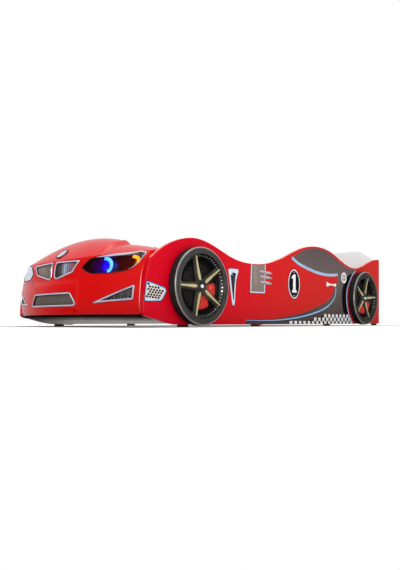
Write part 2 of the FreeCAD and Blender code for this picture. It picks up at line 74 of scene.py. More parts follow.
def placePiece(name, mesh, angle=32, body="root", stage=False):
    bm = bmesh.new()
    bm.from_mesh(mesh)
    bmesh.ops.remove_doubles(bm, verts=bm.verts, dist=1e-6)
    if not stage:
        bmesh.ops.recalc_face_normals(bm, faces=bm.faces)
    bm.to_mesh(mesh)
    bm.free()
    mesh.shade_smooth()
    mesh.set_sharp_from_angle(angle=math.radians(angle))
    piece = bpy.data.objects.new(name, mesh)
    scene.collection.objects.link(piece)
    if stage:
        return piece
    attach(piece, body)
    return piece


def gridFaces(rows, columns, wrapRows=False, wrapColumns=False):
    faces = []
    for i in range(rows if wrapRows else rows - 1):
        for j in range(columns if wrapColumns else columns - 1):
            k, n = (i + 1) % rows, (j + 1) % columns
            faces.append((i * columns + j, i * columns + n, k * columns + n, k * columns + j))
    return faces


def barFaces(rows, columns):
    # a bar built up in rows, capped at both ends
    caps = [tuple(range(columns)), tuple(range((rows - 1) * columns, rows * columns))]
    return gridFaces(rows, columns, False, True) + caps


def joined(parts):
    verts, faces = [], []
    for partVerts, partFaces in parts:
        faces += [tuple(i + len(verts) for i in face) for face in partFaces]
        verts += [tuple(v) for v in partVerts]
    return verts, faces


def splineThrough(points, count):
    # natural cubic through the points, evenly sampled along the chords
    p = np.array(points, float)
    t = np.concatenate([[0], np.cumsum(np.linalg.norm(np.diff(p, axis=0), axis=1))])
    h = np.diff(t)[:, None]
    n = len(p)
    a, b = np.eye(n), np.zeros_like(p)
    for i in range(1, n - 1):
        a[i, i - 1:i + 2] = h[i - 1, 0], 2 * (h[i - 1, 0] + h[i, 0]), h[i, 0]
        b[i] = 3 * ((p[i + 1] - p[i]) / h[i] - (p[i] - p[i - 1]) / h[i - 1])
    c = np.linalg.solve(a, b)
    s = np.linspace(0, t[-1], count)
    k = np.clip(np.searchsorted(t, s, "right") - 1, 0, n - 2)
    d = (s - t[k])[:, None]
    slope = (p[k + 1] - p[k]) / h[k] - h[k] * (2 * c[k] + c[k + 1]) / 3
    return p[k] + slope * d + c[k] * d ** 2 + (c[k + 1] - c[k]) / (3 * h[k]) * d ** 3


def offsetCorners(points, amount):
    # moves every straight edge of a closed outline out by an amount, or in when it is negative
    p = np.array(points, float)
    x, y = p[:, 0], p[:, 1]
    turn = np.sign(np.sum(x * np.roll(y, -1) - np.roll(x, -1) * y))
    ahead = np.roll(p, -1, 0) - p
    ahead /= np.linalg.norm(ahead, axis=1)[:, None]
    out = np.stack([ahead[:, 1], -ahead[:, 0]], 1) * turn * amount
    moved = []
    for i in range(len(p)):
        start, come, go = p[i] + out[i - 1], ahead[i - 1], ahead[i]
        gap = p[i] + out[i] - start
        cross = come[0] * go[1] - come[1] * go[0]
        moved.append(start + come * (gap[0] * go[1] - gap[1] * go[0]) / cross)
    return np.array(moved)


def softLoop(points, radius, grow=0.0, step=0.006):
    # closed outline with rounded corners; the count of its points does not change with grow
    p = offsetCorners(points, grow)
    base = np.array(points, float)
    n = len(p)
    reach = max(radius + grow, 0.0012)
    sides = np.linalg.norm(np.roll(p, -1, 0) - p, axis=1)
    cut = [min(reach, 0.45 * sides[i - 1], 0.45 * sides[i]) for i in range(n)]
    out = []
    for i in range(n):
        here, last, after = p[i], p[i - 1], p[(i + 1) % n]
        start = here + (last - here) / sides[i - 1] * cut[i]
        end = here + (after - here) / sides[i] * cut[i]
        for s in np.linspace(0, 1, 6):
            out.append((1 - s) ** 2 * start + 2 * s * (1 - s) * here + s ** 2 * end)
        stop = after - (after - here) / sides[i] * cut[(i + 1) % n]
        pieces = max(2, int(np.linalg.norm(base[(i + 1) % n] - base[i]) / step))
        out += [end + (stop - end) * s for s in np.linspace(0, 1, pieces + 1)[1:-1]]
    return np.array(out)


def bandAround(points, width, count=60, extra=0.0):
    # outline of a stripe along a smooth line, of one width or of a list of widths
    line = splineThrough(points, count)
    widths = np.atleast_1d(width)
    width = np.interp(np.linspace(0, 1, count), np.linspace(0, 1, len(widths)), widths)[:, None] + extra
    step = sideways(line) * width / 2
    return np.vstack([line - step, (line + step)[::-1]])


def sideways(line):
    # unit normals of a flat line, to the right of its run
    ahead = np.gradient(line, axis=0)
    return np.stack([ahead[:, 1], -ahead[:, 0]], 1) / np.linalg.norm(ahead, axis=1)[:, None]


def ellipse(centre, radii, count=48):
    a = np.linspace(0, 2 * math.pi, count, endpoint=False)
    return np.stack([centre[0] + radii[0] * np.cos(a), centre[1] + radii[1] * np.sin(a)], 1)


def filledPlate(rings, thickness):
    # flat plate in its own plane, holes where one ring lies in another
    curve = bpy.data.curves.new("outline", "CURVE")
    curve.dimensions = "2D"
    curve.fill_mode = "BOTH"
    curve.extrude = thickness / 2
    for ring in rings:
        spline = curve.splines.new("POLY")
        spline.points.add(len(ring) - 1)
        for point, (u, v) in zip(spline.points, ring):
            point.co = (u, v, 0, 1)
        spline.use_cyclic_u = True
    holder = bpy.data.objects.new("outline", curve)
    flat = bpy.data.meshes.new_from_object(holder)
    verts = [tuple(v.co) for v in flat.vertices]
    faces = [tuple(f.vertices) for f in flat.polygons]
    bpy.data.objects.remove(holder)
    bpy.data.curves.remove(curve)
    bpy.data.meshes.remove(flat)
    return verts, faces


def applied(piece):
    graph = bpy.context.evaluated_depsgraph_get()
    mesh = bpy.data.meshes.new_from_object(piece.evaluated_get(graph))
    bpy.data.objects.remove(piece)
    return mesh


def carved(verts, faces, cutter, operation, material):
    # boolean between a closed sheet and a closed cutter, both plain lists
    made = []
    for part in ((verts, faces), cutter):
        mesh = bpy.data.meshes.new("carving")
        mesh.from_pydata([(x, y + frontAxle, z) for x, y, z in part[0]], [], part[1])
        bm = bmesh.new()
        bm.from_mesh(mesh)
        bmesh.ops.recalc_face_normals(bm, faces=bm.faces)
        bm.to_mesh(mesh)
        bm.free()
        made.append(bpy.data.objects.new("carving", mesh))
        scene.collection.objects.link(made[-1])
    made[0].data.materials.append(material)
    cut = made[0].modifiers.new("cut", "BOOLEAN")
    cut.operation = operation
    cut.solver = "EXACT"
    cut.object = made[1]
    mesh = applied(made[0])
    bpy.data.objects.remove(made[1])
    return mesh


# materials
def tone(r, g, b):
    # screen colour, 0 to 255, to the shader's own scale
    parts = (r / 255, g / 255, b / 255)
    return tuple(c / 12.92 if c <= 0.04045 else ((c + 0.055) / 1.055) ** 2.4 for c in parts) + (1,)


def startMaterial(name, specular=0.5, **look):
    material = bpy.data.materials.new(name)
    material.use_nodes = True
    tree = material.node_tree
    shader = tree.nodes["Principled BSDF"]
    shader.inputs["Specular IOR Level"].default_value = specular
    for key, value in look.items():
        shader.inputs[key.replace("_", " ")].default_value = value
    return material, tree, shader


def feed(tree, socket, value):
    # a link where the value is another node's output, a plain setting where it is not
    if hasattr(value, "is_output"):
        tree.links.new(value, socket)
    else:
        socket.default_value = value


def addNode(tree, kind, settings=None, **inputs):
    node = tree.nodes.new("ShaderNode" + kind)
    for key, value in (settings or {}).items():
        setattr(node, key, value)
    for key, value in inputs.items():
        feed(tree, node.inputs[key.replace("_", " ")], value)
    return node


def computed(tree, operation, *values, kind="Math", output="Value"):
    # one step of arithmetic, with the values in the order of its sockets
    node = addNode(tree, kind, {"operation": operation})
    for socket, value in zip(node.inputs, values):
        feed(tree, socket, value)
    return node.outputs[output]


def choose(tree, test, no, yes):
    mix = addNode(tree, "Mix", {"data_type": "RGBA"})
    for place, value in ((0, test), (6, no), (7, yes)):
        tree.links.new(value, mix.inputs[place])
    return mix.outputs[2]


def ranged(tree, source, low, high, **span):
    return addNode(tree, "MapRange", Value=source, To_Min=low, To_Max=high, **span).outputs["Result"]


def noise(tree, place, scale, detail, **more):
    return addNode(tree, "TexNoise", Vector=place, Scale=scale, Detail=detail, **more).outputs["Fac"]


def coordinates(tree, place):
    return addNode(tree, "SeparateXYZ", Vector=place).outputs


def surface(tree, shader, source, rough=None, bump=None, distance=0.001):
    # gloss and fine height from one source
    if rough:
        tree.links.new(ranged(tree, source, *rough), shader.inputs["Roughness"])
    if bump:
        height = addNode(tree, "Bump", Height=source, Strength=bump, Distance=distance)
        tree.links.new(height.outputs["Normal"], shader.inputs["Normal"])


def objectPlace(tree, scale=(1, 1, 1)):
    place = addNode(tree, "TexCoord").outputs["Object"]
    return addNode(tree, "Mapping", Vector=place, Scale=scale).outputs["Vector"]


def ramp(tree, source, stops, smooth=False):
    # three numbers are a screen colour, four are the shader's own
    node = addNode(tree, "ValToRGB", Fac=source)
    if smooth:
        node.color_ramp.interpolation = "EASE"
    while len(node.color_ramp.elements) < len(stops):
        node.color_ramp.elements.new(0.5)
    for element, (place, colour) in zip(node.color_ramp.elements, stops):
        element.position = place
        element.color = tone(*colour) if len(colour) == 3 else colour
    return node.outputs["Color"]


def grained(name, low, high, scale, stretch=(1, 1, 1), rough=(0.3, 0.4), bump=0.02, bumpScale=400, **look):
    # colour that wanders between two tones, with a finer grain in gloss and height
    material, tree, shader = startMaterial(name, **look)
    place = objectPlace(tree, stretch)
    colour = ramp(tree, noise(tree, place, scale, 4), [(0.3, low), (0.7, high)])
    tree.links.new(colour, shader.inputs["Base Color"])
    surface(tree, shader, noise(tree, place, bumpScale, 3), rough, bump)
    return material


def woodMaterial(name, pale, dark, along, rings=26):
    # straight grain along one axis, with slow bands and short pores
    material, tree, shader = startMaterial(name, specular=0.35)
    squeeze = [1.0, 1.0, 1.0]
    squeeze[along] = 0.06
    place = objectPlace(tree, squeeze)
    bands = noise(tree, place, rings, 6, Distortion=1.4)
    pores = noise(tree, place, 420, 2)
    both = computed(tree, "MULTIPLY_ADD", bands, noise(tree, place, 5, 3), pores)
    shade = ranged(tree, both, 0, 1, From_Min=0.5, From_Max=1.1)
    tree.links.new(ramp(tree, shade, [(0.1, dark), (0.5, pale), (0.9, dark)]), shader.inputs["Base Color"])
    surface(tree, shader, pores, rough=(0.45, 0.6), bump=0.12, distance=0.0006)
    return material


panelLook = {
    "front": (213, 0, 30), "rear": (208, 38, 32), "along": (-0.1, 1.3), "cloud": 0.24,
    "inside": (232, 232, 234), "insideShade": (222, 223, 226), "insideStep": 0.0008,
    # painted shade band low on the inside faces, by height: white near the floor, black at the top of the
    # band
    "below": [(0.026, (240, 240, 242)), (0.04, (150, 148, 148)), (0.052, (14, 10, 10))],
    # the pale edge tones are a painted highlight on the bare panel edges
    "edge": (246, 150, 140), "edgeHighlightDim": (226, 96, 92), "edgeWidth": 0.0016,
    "paintedShadeTop": 0.062, "noseEdge": (-0.24, 0.275), "rearEdge": 0.15,
    "roughness": (0.3, 0.38), "specular": 0.1,
}


def panelMaterial():
    # printed red outside, plain white inside, told apart by the side that the face is on; a painted
    # highlight on the bare edges and a painted shade band low on the inside
    look = panelLook
    material, tree, shader = startMaterial("printed_red_panel", specular=look["specular"])
    place = objectPlace(tree)
    x, y, z = coordinates(tree, place)

    def over(source, value):
        return computed(tree, "GREATER_THAN", source, value)

    start, end = look["along"]
    along = ranged(tree, y, 0, 1, From_Min=frontAxle + start, From_Max=frontAxle + end)
    wander = noise(tree, place, 2.2, 3)
    shade = computed(tree, "MULTIPLY_ADD", wander, look["cloud"], along)
    red = ramp(tree, shade, [(0.12, look["front"]), (0.95, look["rear"])], smooth=True)
    white = ramp(tree, wander, [(0.3, look["insideShade"]), (0.7, look["inside"])])
    paintedEdgeHighlight = ramp(tree, noise(tree, place, 14, 2), [(0.3, look["edgeHighlightDim"]), (0.7, look["edge"])])
    # painted shade on the inside faces, darkening upwards to black just under the nose lip height
    dark = ramp(tree, z, look["below"], smooth=True)

    # the bare edge has a painted highlight, pale high up and red low down, with a level of its own inside
    # the nose
    noseEnd, noseTop = look["noseEdge"]
    ahead = choose(tree, over(z, noseTop), red, paintedEdgeHighlight)
    behind = choose(tree, over(z, look["rearEdge"]), red, paintedEdgeHighlight)
    edge = choose(tree, over(y, frontAxle + noseEnd), ahead, behind)
    inner = choose(tree, over(z, look["paintedShadeTop"]), dark, white)
    depth = computed(tree, "ABSOLUTE", x)
    outer = choose(tree, over(depth, panelFace - look["edgeWidth"]), edge, red)
    colour = choose(tree, over(depth, panelInside + look["insideStep"]), inner, outer)
    tree.links.new(colour, shader.inputs["Base Color"])
    surface(tree, shader, noise(tree, place, 260, 3), look["roughness"], bump=0.03, distance=0.0005)
    return material


redPanel = panelMaterial()
whiteBoard = grained("white_melamine", (232, 233, 236), (243, 243, 245), 1.6, rough=(0.4, 0.5), bump=0.05,
                     bumpScale=500, specular=0.3)
rawBoard = grained("raw_fibreboard", (150, 118, 82), (172, 138, 98), 60, rough=(0.75, 0.9), bump=0.3)
pine = woodMaterial("planed_pine", (226, 190, 138), (198, 150, 96), 1)
birch = woodMaterial("birch_slats", (232, 205, 164), (214, 180, 134), 0, rings=18)
zinc = grained("zinc_plate", (168, 172, 178), (198, 202, 206), 90, rough=(0.25, 0.42), bump=0.1,
               Metallic=1.0)
nylon = grained("black_nylon", (22, 22, 24), (34, 34, 36), 50, rough=(0.4, 0.6), bump=0.15)
redShell = grained("red_moulding", (208, 0, 0), (214, 1, 1), 3, rough=(0.2, 0.26), bump=0.012,
                   bumpScale=160, specular=0.28)
chrome = grained("bright_trim", (196, 204, 228), (232, 214, 226), 14, rough=(0.14, 0.24), bump=0.02,
                 Metallic=0.25, specular=0.7)
darkTrim = grained("dark_trim", (30, 12, 16), (52, 20, 24), 40, rough=(0.4, 0.55), specular=0.3)
grilleGrey = grained("grille_wire", (140, 128, 122), (164, 152, 144), 60, rough=(0.35, 0.5), bump=0.08,
                     Metallic=0.3)
slatGrey = grained("intake_slat_grey", (84, 76, 76), (128, 120, 120), 50, rough=(0.3, 0.45), bump=0.08,
                   Metallic=0.3)
grilleBack = grained("grille_back", (58, 52, 46), (74, 66, 58), 30, rough=(0.6, 0.8), bump=0.1)
blackPlastic = grained("black_plastic", (10, 8, 10), (20, 16, 18), 40, rough=(0.3, 0.5), bump=0.1)
rubber = grained("tyre_rubber", (17, 14, 15), (26, 22, 23), 30, rough=(0.55, 0.72), bump=0.12,
                 specular=0.25)
sidewallRubber = grained("tyre_sidewall", (58, 56, 54), (70, 67, 64), 30, rough=(0.42, 0.58), bump=0.1,
                         specular=0.35)
# paler rubber, a painted highlight along the tyre's outer shoulder
shoulderHighlightRubber = grained("tyre_shoulder_highlight", (128, 124, 122), (168, 164, 160), 12, rough=(0.3, 0.42),
                         bump=0.05, specular=0.6)
gunmetal = grained("rim_gunmetal", (60, 59, 55), (86, 84, 78), 24, rough=(0.28, 0.42), bump=0.05,
                   Metallic=0.4)
rimDark = grained("rim_inside", (14, 14, 13), (26, 25, 23), 24, rough=(0.35, 0.5), bump=0.05, Metallic=0.3)
gold = grained("spoke_gold", (226, 206, 144), (244, 230, 180), 6, rough=(0.22, 0.34), bump=0.004,
               Metallic=0.35)
paleRivet = grained("rivet_heads", (128, 126, 120), (206, 204, 196), 14, rough=(0.25, 0.4), Metallic=0.4)
discSteel = grained("brake_steel", (46, 44, 42), (70, 66, 62), 8, stretch=(1, 8, 8), rough=(0.3, 0.5),
                    bump=0.1, Metallic=0.7)
caliperRed = grained("caliper_paint", (206, 30, 18), (232, 52, 34), 22, rough=(0.3, 0.42), bump=0.08,
                     Coat_Weight=0.3)
capWhite = grained("cap_white", (232, 232, 230), (250, 250, 248), 30, rough=(0.25, 0.35), bump=0.04)


def footboardMaterial():
    # white towards the bed; the face hidden in the nose is black, a painted shade under the nose
    material, tree, shader = startMaterial("footboard_white_and_painted_shade", specular=0.2)
    place = objectPlace(tree)
    wander = noise(tree, place, 5, 3)
    white = ramp(tree, wander, [(0.3, (232, 233, 236)), (0.7, (243, 243, 245))])
    # the black face is painted shade under the nose
    black = ramp(tree, wander, [(0.3, (12, 11, 12)), (0.7, (24, 22, 23))])
    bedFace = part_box("footboard")[1].y - 0.0006
    inBed = computed(tree, "GREATER_THAN", coordinates(tree, place)["Y"], bedFace)
    tree.links.new(choose(tree, inBed, black, white), shader.inputs["Base Color"])
    surface(tree, shader, wander, rough=(0.4, 0.55))
    return material


# CAD pieces that keep their own shape get the right finish
keptFinishes = (
    (redPanel, "side_panel_left side_panel_right"),
    (whiteBoard, "headboard"),
    (footboardMaterial(), "footboard"),
    (rawBoard, "bonnet_ribs"),
    (pine, "rail_left rail_right foot_cleat head_cleat base_bar_left base_bar_right base_end_bars"),
    (birch, "slats"),
    (nylon, "slat_holders floor_glides lamp_lead_left lamp_lead_right"),
    (zinc, "corner_bolts barrel_nuts rail_screws wheel_screws dc_inlet"),
    (redShell, "bonnet_screws"),
    (blackPlastic, "control_box"),
    (caliperRed, "rocker_switch"),
)
for finish, nodeNames in keptFinishes:
    for nodeName in nodeNames.split():
        slots = nodes[nodeName].data.materials
        for k in range(len(slots)):
            slots[k] = finish
        if not len(slots):
            slots.append(finish)
print("materials made")


# the nose moulding
nose = {
    "tip": -0.406, "bow": 0.108, "brow": -0.384, "browSweep": 0.149, "browHeight": 0.284, "browRise": 0.022,
    "bonnetHeight": 0.404, "fenderHeight": 0.358, "crease": 0.205, "creaseWidth": 0.034, "thick": 0.0035,
    "lip": 0.052, "flange": (0.0, 0.0005, 0.0018, 0.0042, 0.008, 0.02),
    "flangeStep": (0.007, 0.004, 0.0017, 0.0004, 0.0, 0.0), "flangeLeast": 0.09,
    "columns": 241, "bumperRows": 72, "bonnetRows": 64,
    "chinReach": 0.0065, "chinHalf": 0.176,     # the middle of the bumper stands a little proud
    "groove": 0.0035, "grooveWidth": 0.011,
}


def smoothStep(k):
    k = np.clip(k, 0, 1)
    return k * k * (3 - 2 * k)


def bumperPoints(x):
    t = abs(x) / noseHalf
    bow = nose["tip"] + nose["bow"] * t ** 2
    brow = (nose["brow"] + nose["browSweep"] * t ** 2.6, nose["browHeight"] + nose["browRise"] * t ** 2)
    waist = (bow + 0.009, 0.205)
    shoulder = ((waist[0] + brow[0]) / 2 - 0.003 - 0.007 * t, (waist[1] + brow[1]) / 2 + 0.003)
    lip = (bow + 0.007, nose["lip"] - 0.001 * t ** 4)
    return [lip, (bow + 0.0015, 0.08), (bow, 0.115), (bow + 0.0035, 0.16), waist, shoulder, brow]


def bumperLine(x, count):
    line = splineThrough(bumperPoints(x), count)
    side = smoothStep((nose["chinHalf"] - abs(x) - 0.1 * np.maximum(line[:, 1] - 0.145, 0)) / 0.012 + 0.5)
    tall = smoothStep((line[:, 1] - 0.062) / 0.02) * smoothStep((0.206 - line[:, 1]) / 0.03)
    line[:, 0] -= nose["chinReach"] * side * tall
    return line


def bonnetLine(x, count):
    y0, z0 = bumperPoints(x)[-1]
    u = np.linspace(0, 1, count) ** 1.25
    a = abs(x)
    raised = nose["bonnetHeight"] - 0.026 * (a / 0.2) ** 2
    fender = nose["fenderHeight"] - 0.046 * (max(a - 0.2, 0) / 0.261) ** 1.5
    k = np.clip((a - nose["crease"] - 0.04 * (1 - u)) / nose["creaseWidth"], 0, 1)
    crisp = 0.7 * smoothStep((1 - u) / 0.2)
    k = crisp * k + (1 - crisp) * smoothStep(k)
    end = raised * (1 - k) + fender * k
    foot = nose["crease"] + 0.04 * (1 - u) + nose["creaseWidth"]
    dip = nose["groove"] * np.exp(-((a - foot) / nose["grooveWidth"]) ** 2)
    dip = dip * smoothStep(u / 0.15) * smoothStep((1 - u) / 0.25)
    return np.stack([y0 + (footRear - y0) * u, z0 + (end - z0) * (1 - (1 - u) ** 2.1) - dip], 1)


tableX = np.linspace(-noseHalf, noseHalf, 401)
tableZ = np.linspace(0.05, 0.31, 261)
tableY = np.array([np.interp(tableZ, *bumperLine(x, 160).T[::-1]) for x in tableX])


def noseDepth(x, z):
    # y of the bumper's outer face at (x, z)
    i = np.clip((x - tableX[0]) / (tableX[1] - tableX[0]), 0, len(tableX) - 1.001)
    j = np.clip((z - tableZ[0]) / (tableZ[1] - tableZ[0]), 0, len(tableZ) - 1.001)
    i0, j0 = np.floor(i).astype(int), np.floor(j).astype(int)
    a, b = i - i0, j - j0
    return (tableY[i0, j0] * (1 - a) * (1 - b) + tableY[i0 + 1, j0] * a * (1 - b)
            + tableY[i0, j0 + 1] * (1 - a) * b + tableY[i0 + 1, j0 + 1] * a * b)


def onNose(x, z, height=0.0):
    # points on the bumper, stood off along its normal; negative is behind it
    x, z = np.asarray(x, float), np.asarray(z, float)
    e = 0.003
    fx = (noseDepth(x + e, z) - noseDepth(x - e, z)) / (2 * e)
    fz = (noseDepth(x, z + e) - noseDepth(x, z - e)) / (2 * e)
    size = np.sqrt(fx ** 2 + fz ** 2 + 1)
    return np.stack([x + fx / size * height, noseDepth(x, z) - height / size, z + fz / size * height], -1)


openings = {
    "upper": [(0.014, 0.279), (0.174, 0.274), (0.14, 0.229), (0.027, 0.203), (0.012, 0.213)],
    "lower": [(-0.138, 0.143), (0.138, 0.143), (0.172, 0.098), (0.163, 0.088), (-0.163, 0.088),
              (-0.172, 0.098)],
    "intake": [(0.262, 0.099), (0.437, 0.165), (0.434, 0.109)],
    "lamp": [(0.192, 0.243), (0.232, 0.28), (0.297, 0.287), (0.405, 0.297), (0.452, 0.3), (0.446, 0.26),
             (0.425, 0.234), (0.389, 0.221), (0.325, 0.216), (0.24, 0.216), (0.208, 0.231)],
}
cornerRadius = {"upper": 0.007, "lower": 0.009, "intake": 0.009, "lamp": 0.016}


def outlineOf(kind, side=1, grow=0.0):
    loop = softLoop(openings[kind], cornerRadius[kind], grow) * np.array([side, 1])
    return loop if side > 0 else loop[::-1]


def prismOf(loop, front=-0.47, back=-0.228):
    n = len(loop)
    verts = [(x, front, z) for x, z in loop] + [(x, back, z) for x, z in loop]
    faces = [tuple(range(n)), tuple(range(2 * n - 1, n - 1, -1))]
    faces += [(i, (i + 1) % n, n + (i + 1) % n, n + i) for i in range(n)]
    return verts, faces


def closedSheet(front, back):
    # two grids of points, one behind the other, closed round their rims
    rows, columns = front.shape[:2]
    n = rows * columns
    verts = [tuple(p) for p in front.reshape(-1, 3)] + [tuple(p) for p in back.reshape(-1, 3)]
    faces = gridFaces(rows, columns)
    faces += [tuple(i + n for i in reversed(face)) for face in faces]
    rim = list(range(columns)) + [i * columns + columns - 1 for i in range(1, rows)]
    rim += [(rows - 1) * columns + i for i in range(columns - 2, -1, -1)]
    rim += [i * columns for i in range(rows - 2, 0, -1)]
    faces += [(a, b, b + n, a + n) for a, b in zip(rim, rim[1:] + rim[:1])]
    return verts, faces


def noseMoulding():
    flatHalf = noseHalf - nose["flangeStep"][0]
    edges = list(zip(nose["flangeStep"], nose["flange"]))[1:]
    columns = [(s - noseHalf, d) for s, d in edges[::-1]]
    columns += [(x, 0.0) for x in np.linspace(-flatHalf, flatHalf, nose["columns"])]
    columns += [(noseHalf - s, d) for s, d in edges]
    outer = []
    for x, depth in columns:
        line = np.vstack([bumperLine(x, nose["bumperRows"]), bonnetLine(x, nose["bonnetRows"])[1:]])
        # the turned-in flange runs out towards the rear edge and stays level at the lip
        reach = smoothStep((footRear - 0.004 - line[:, 0]) / 0.05)
        reach = reach * smoothStep(np.linspace(0, 14, len(line)))
        reach = depth * np.maximum(reach, nose["flangeLeast"])
        line = line + sideways(line) * reach[:, None]
        outer.append(np.column_stack([np.full(len(line), x), line]))
    outer = np.array(outer)
    across, along = np.gradient(outer, axis=0), np.gradient(outer, axis=1)
    normal = np.cross(across, along)
    normal /= np.linalg.norm(normal, axis=2)[:, :, None]
    move = normal * nose["thick"]
    move[:, -1, 1] = 0
    move[:, 0, 2] = 0
    verts, faces = closedSheet(outer, outer - move)
    cutters = [prismOf(outlineOf("lower", 1, -0.001))]
    for side in (1, -1):
        cutters += [prismOf(outlineOf(kind, side, -0.001)) for kind in ("upper", "intake", "lamp")]
    mesh = carved(verts, faces, joined(cutters), "DIFFERENCE", redShell)
    moulding = placePiece("nose_moulding", mesh, angle=28)
    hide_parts("bonnet_shell")


noseMoulding()
print("nose moulding made")


def noseRing(name, kind, side, profile, material, slot):
    # a closed section, (out from the outline, off the surface), carried round an opening
    rows = []
    for out, off in profile:
        ring = outlineOf(kind, side, out)
        rows.append(onNose(ring[:, 0], ring[:, 1], off))
    verts = [tuple(p) for row in rows for p in row]
    return newPiece(name, verts, gridFaces(len(rows), len(rows[0]), True, True), material, slot)


def noseSheet(kind, side, grow, depth, thick, material, cell=0.008):
    # a sheet that follows the bumper, cut to an opening's outline
    loop = outlineOf(kind, side, grow)
    (x0, z0), (x1, z1) = loop.min(0) - 0.012, loop.max(0) + 0.012
    xs = np.linspace(x0, x1, int((x1 - x0) / cell) + 2)
    zs = np.linspace(z0, z1, int((z1 - z0) / cell) + 2)
    gx, gz = np.meshgrid(xs, zs, indexing="ij")
    front, back = onNose(gx, gz, -depth), onNose(gx, gz, -depth - thick)
    verts, faces = closedSheet(front, back)
    return carved(verts, faces, prismOf(loop, back=-0.15), "INTERSECT", material)


def clippedRuns(loop, origin, direction):
    # stretches of a line that lie inside a closed outline
    origin, direction = np.array(origin, float), np.array(direction, float)
    across = np.array([-direction[1], direction[0]])
    d = (loop - origin) @ across
    s = (loop - origin) @ direction
    hits = []
    for i in range(len(loop)):
        j = (i + 1) % len(loop)
        if (d[i] > 0) != (d[j] > 0):
            hits.append(s[i] + (s[j] - s[i]) * d[i] / (d[i] - d[j]))
    hits.sort()
    return list(zip(hits[::2], hits[1::2]))


def noseBar(start, end, width, depth, thick, crown=0.0):
    # a bar from one (x, z) to another, following the bumper
    start, end = np.array(start, float), np.array(end, float)
    length = np.linalg.norm(end - start)
    ahead = (end - start) / length
    across = np.array([-ahead[1], ahead[0]])
    count = max(3, int(length / 0.012) + 2)
    shoulder = crown * 0.8
    section = [(-0.5, -thick), (-0.5, 0), (-0.25, shoulder), (0, crown), (0.25, shoulder), (0.5, 0),
               (0.5, -thick)]
    verts = []
    for s in np.linspace(0, 1, count):
        for w, h in section:
            p = start + (end - start) * s + across * w * width
            verts.append(tuple(onNose(p[0], p[1], h - depth)))
    return verts, barFaces(count, len(section))


frameLook = {
    "profile": [(0.0012, -0.002), (0.0014, 0.0014), (0.0006, 0.0027), (-0.0014, 0.0034), (-0.0036, 0.003),
                (-0.005, 0.0018), (-0.0054, -0.001), (-0.005, -0.0035), (-0.0008, -0.0045)],
    "lining": [(-0.0054, -0.0005), (-0.005, 0.0014), (-0.0072, 0.0008), (-0.0076, -0.006),
               (-0.0054, -0.006)],
    "inset": -0.003, "backGrow": -0.0035, "backThick": 0.002,
    "shadowLine": [(0.0013, -0.001), (0.0014, 0.0008), (0.0026, 0.0009), (0.003, 0.0002), (0.003, -0.001)],
}


def grilleFrame(name, kind, side, node):
    ring = noseRing(name, kind, side, frameLook["profile"], chrome, "chrome_trim")
    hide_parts(node)
    noseRing(name + "_lining", kind, side, frameLook["lining"], darkTrim, "lamp_black")
    # a dark ring just outside the frame, a painted shadow line
    noseRing(name + "_painted_shadow", kind, side, frameLook["shadowLine"], darkTrim, "lamp_black")


lowerMesh = {
    "pitch": 0.0075, "width": 0.0019, "thick": 0.0016, "crown": 0.0005, "slant": 0.62, "depth": 0.006,
    "layerStep": 0.0008, "middle": 0.115, "count": 60, "shortest": 0.004,
}
slatLook = {
    "pitch": 0.0085, "width": 0.0042, "thick": 0.005, "crown": 0.0012, "slant": 1.05, "depth": 0.005,
    "start": 0.24, "count": 40, "rim": 0.004, "shortest": 0.004,
    "shelf": 0.1235, "shelfWidth": 0.0036, "shelfDepth": 0.0035,
    "footPitch": 0.014, "footWidth": 0.0062, "footDepth": 0.006, "footShortest": 0.003, "lowCrown": 0.001,
}
uprightBars = {
    "count": 11, "width": 0.0088, "depth": 0.004, "thick": 0.006, "crown": 0.0022, "middle": 0.24,
    "shortest": 0.006, "metal": {"Metallic": 0.35, "specular": 0.6},
    # painted reflection: colour by place across the grille
    "mirrored": [(0.0, (150, 134, 124)), (0.25, (176, 162, 150)), (0.47, (140, 126, 118)),
                 (0.55, (70, 60, 58)), (0.66, (112, 98, 98)), (0.735, (206, 220, 244)),
                 (0.79, (158, 164, 188)), (0.85, (196, 132, 146)), (0.9, (176, 120, 134)),
                 (0.96, (92, 62, 66))],
}


def grilleBacking(name, kind, side, material, depth=0.0125):
    sheet = noseSheet(kind, side, frameLook["backGrow"], depth, frameLook["backThick"], material)
    placePiece(name, sheet)


def lowerGrille():
    grilleFrame("lower_frame", "lower", 1, "lower_grille_frame")
    look, bars = lowerMesh, []
    loop = outlineOf("lower", 1, frameLook["inset"])
    for layer, slant in enumerate((look["slant"], -look["slant"])):
        direction = np.array([math.cos(slant), math.sin(slant)])
        step = look["pitch"] / abs(direction[1])
        depth = look["depth"] + layer * look["layerStep"]
        for k in range(-look["count"], look["count"] + 1):
            middle = np.array([k * step, look["middle"]])
            for low, high in clippedRuns(loop, middle, direction):
                if high - low > look["shortest"]:
                    bars.append(noseBar(middle + direction * low, middle + direction * high, look["width"],
                                        depth, look["thick"], look["crown"]))
    mesh = newPiece("lower_wire_mesh", *joined(bars), grilleGrey, "grille_grey", angle=40)
    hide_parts("lower_grille_mesh")
    grilleBacking("lower_mesh_backing", "lower", 1, grilleBack)


def upperGrille(name, side):
    grilleFrame("upper_frame_" + name, "upper", side, "upper_grille_" + name)
    look, bars = uprightBars, []
    loop = outlineOf("upper", side, frameLook["inset"])
    x0, x1 = loop[:, 0].min(), loop[:, 0].max()
    for k in range(look["count"]):
        x, z = x0 + (x1 - x0) * (k + 0.5) / look["count"], look["middle"]
        for low, high in clippedRuns(loop, (x, z), (0, 1)):
            if high - low > look["shortest"]:
                bars.append(noseBar((x, z + low), (x, z + high), look["width"], look["depth"],
                                    look["thick"], look["crown"]))
    piece = newPiece("upright_bars_" + name, *joined(bars), barsPaintedReflection, "chrome_trim", angle=50)
    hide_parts("grille_bars_" + name)
    grilleBacking("upper_backing_" + name, "upper", side, blackPlastic, depth=0.014)


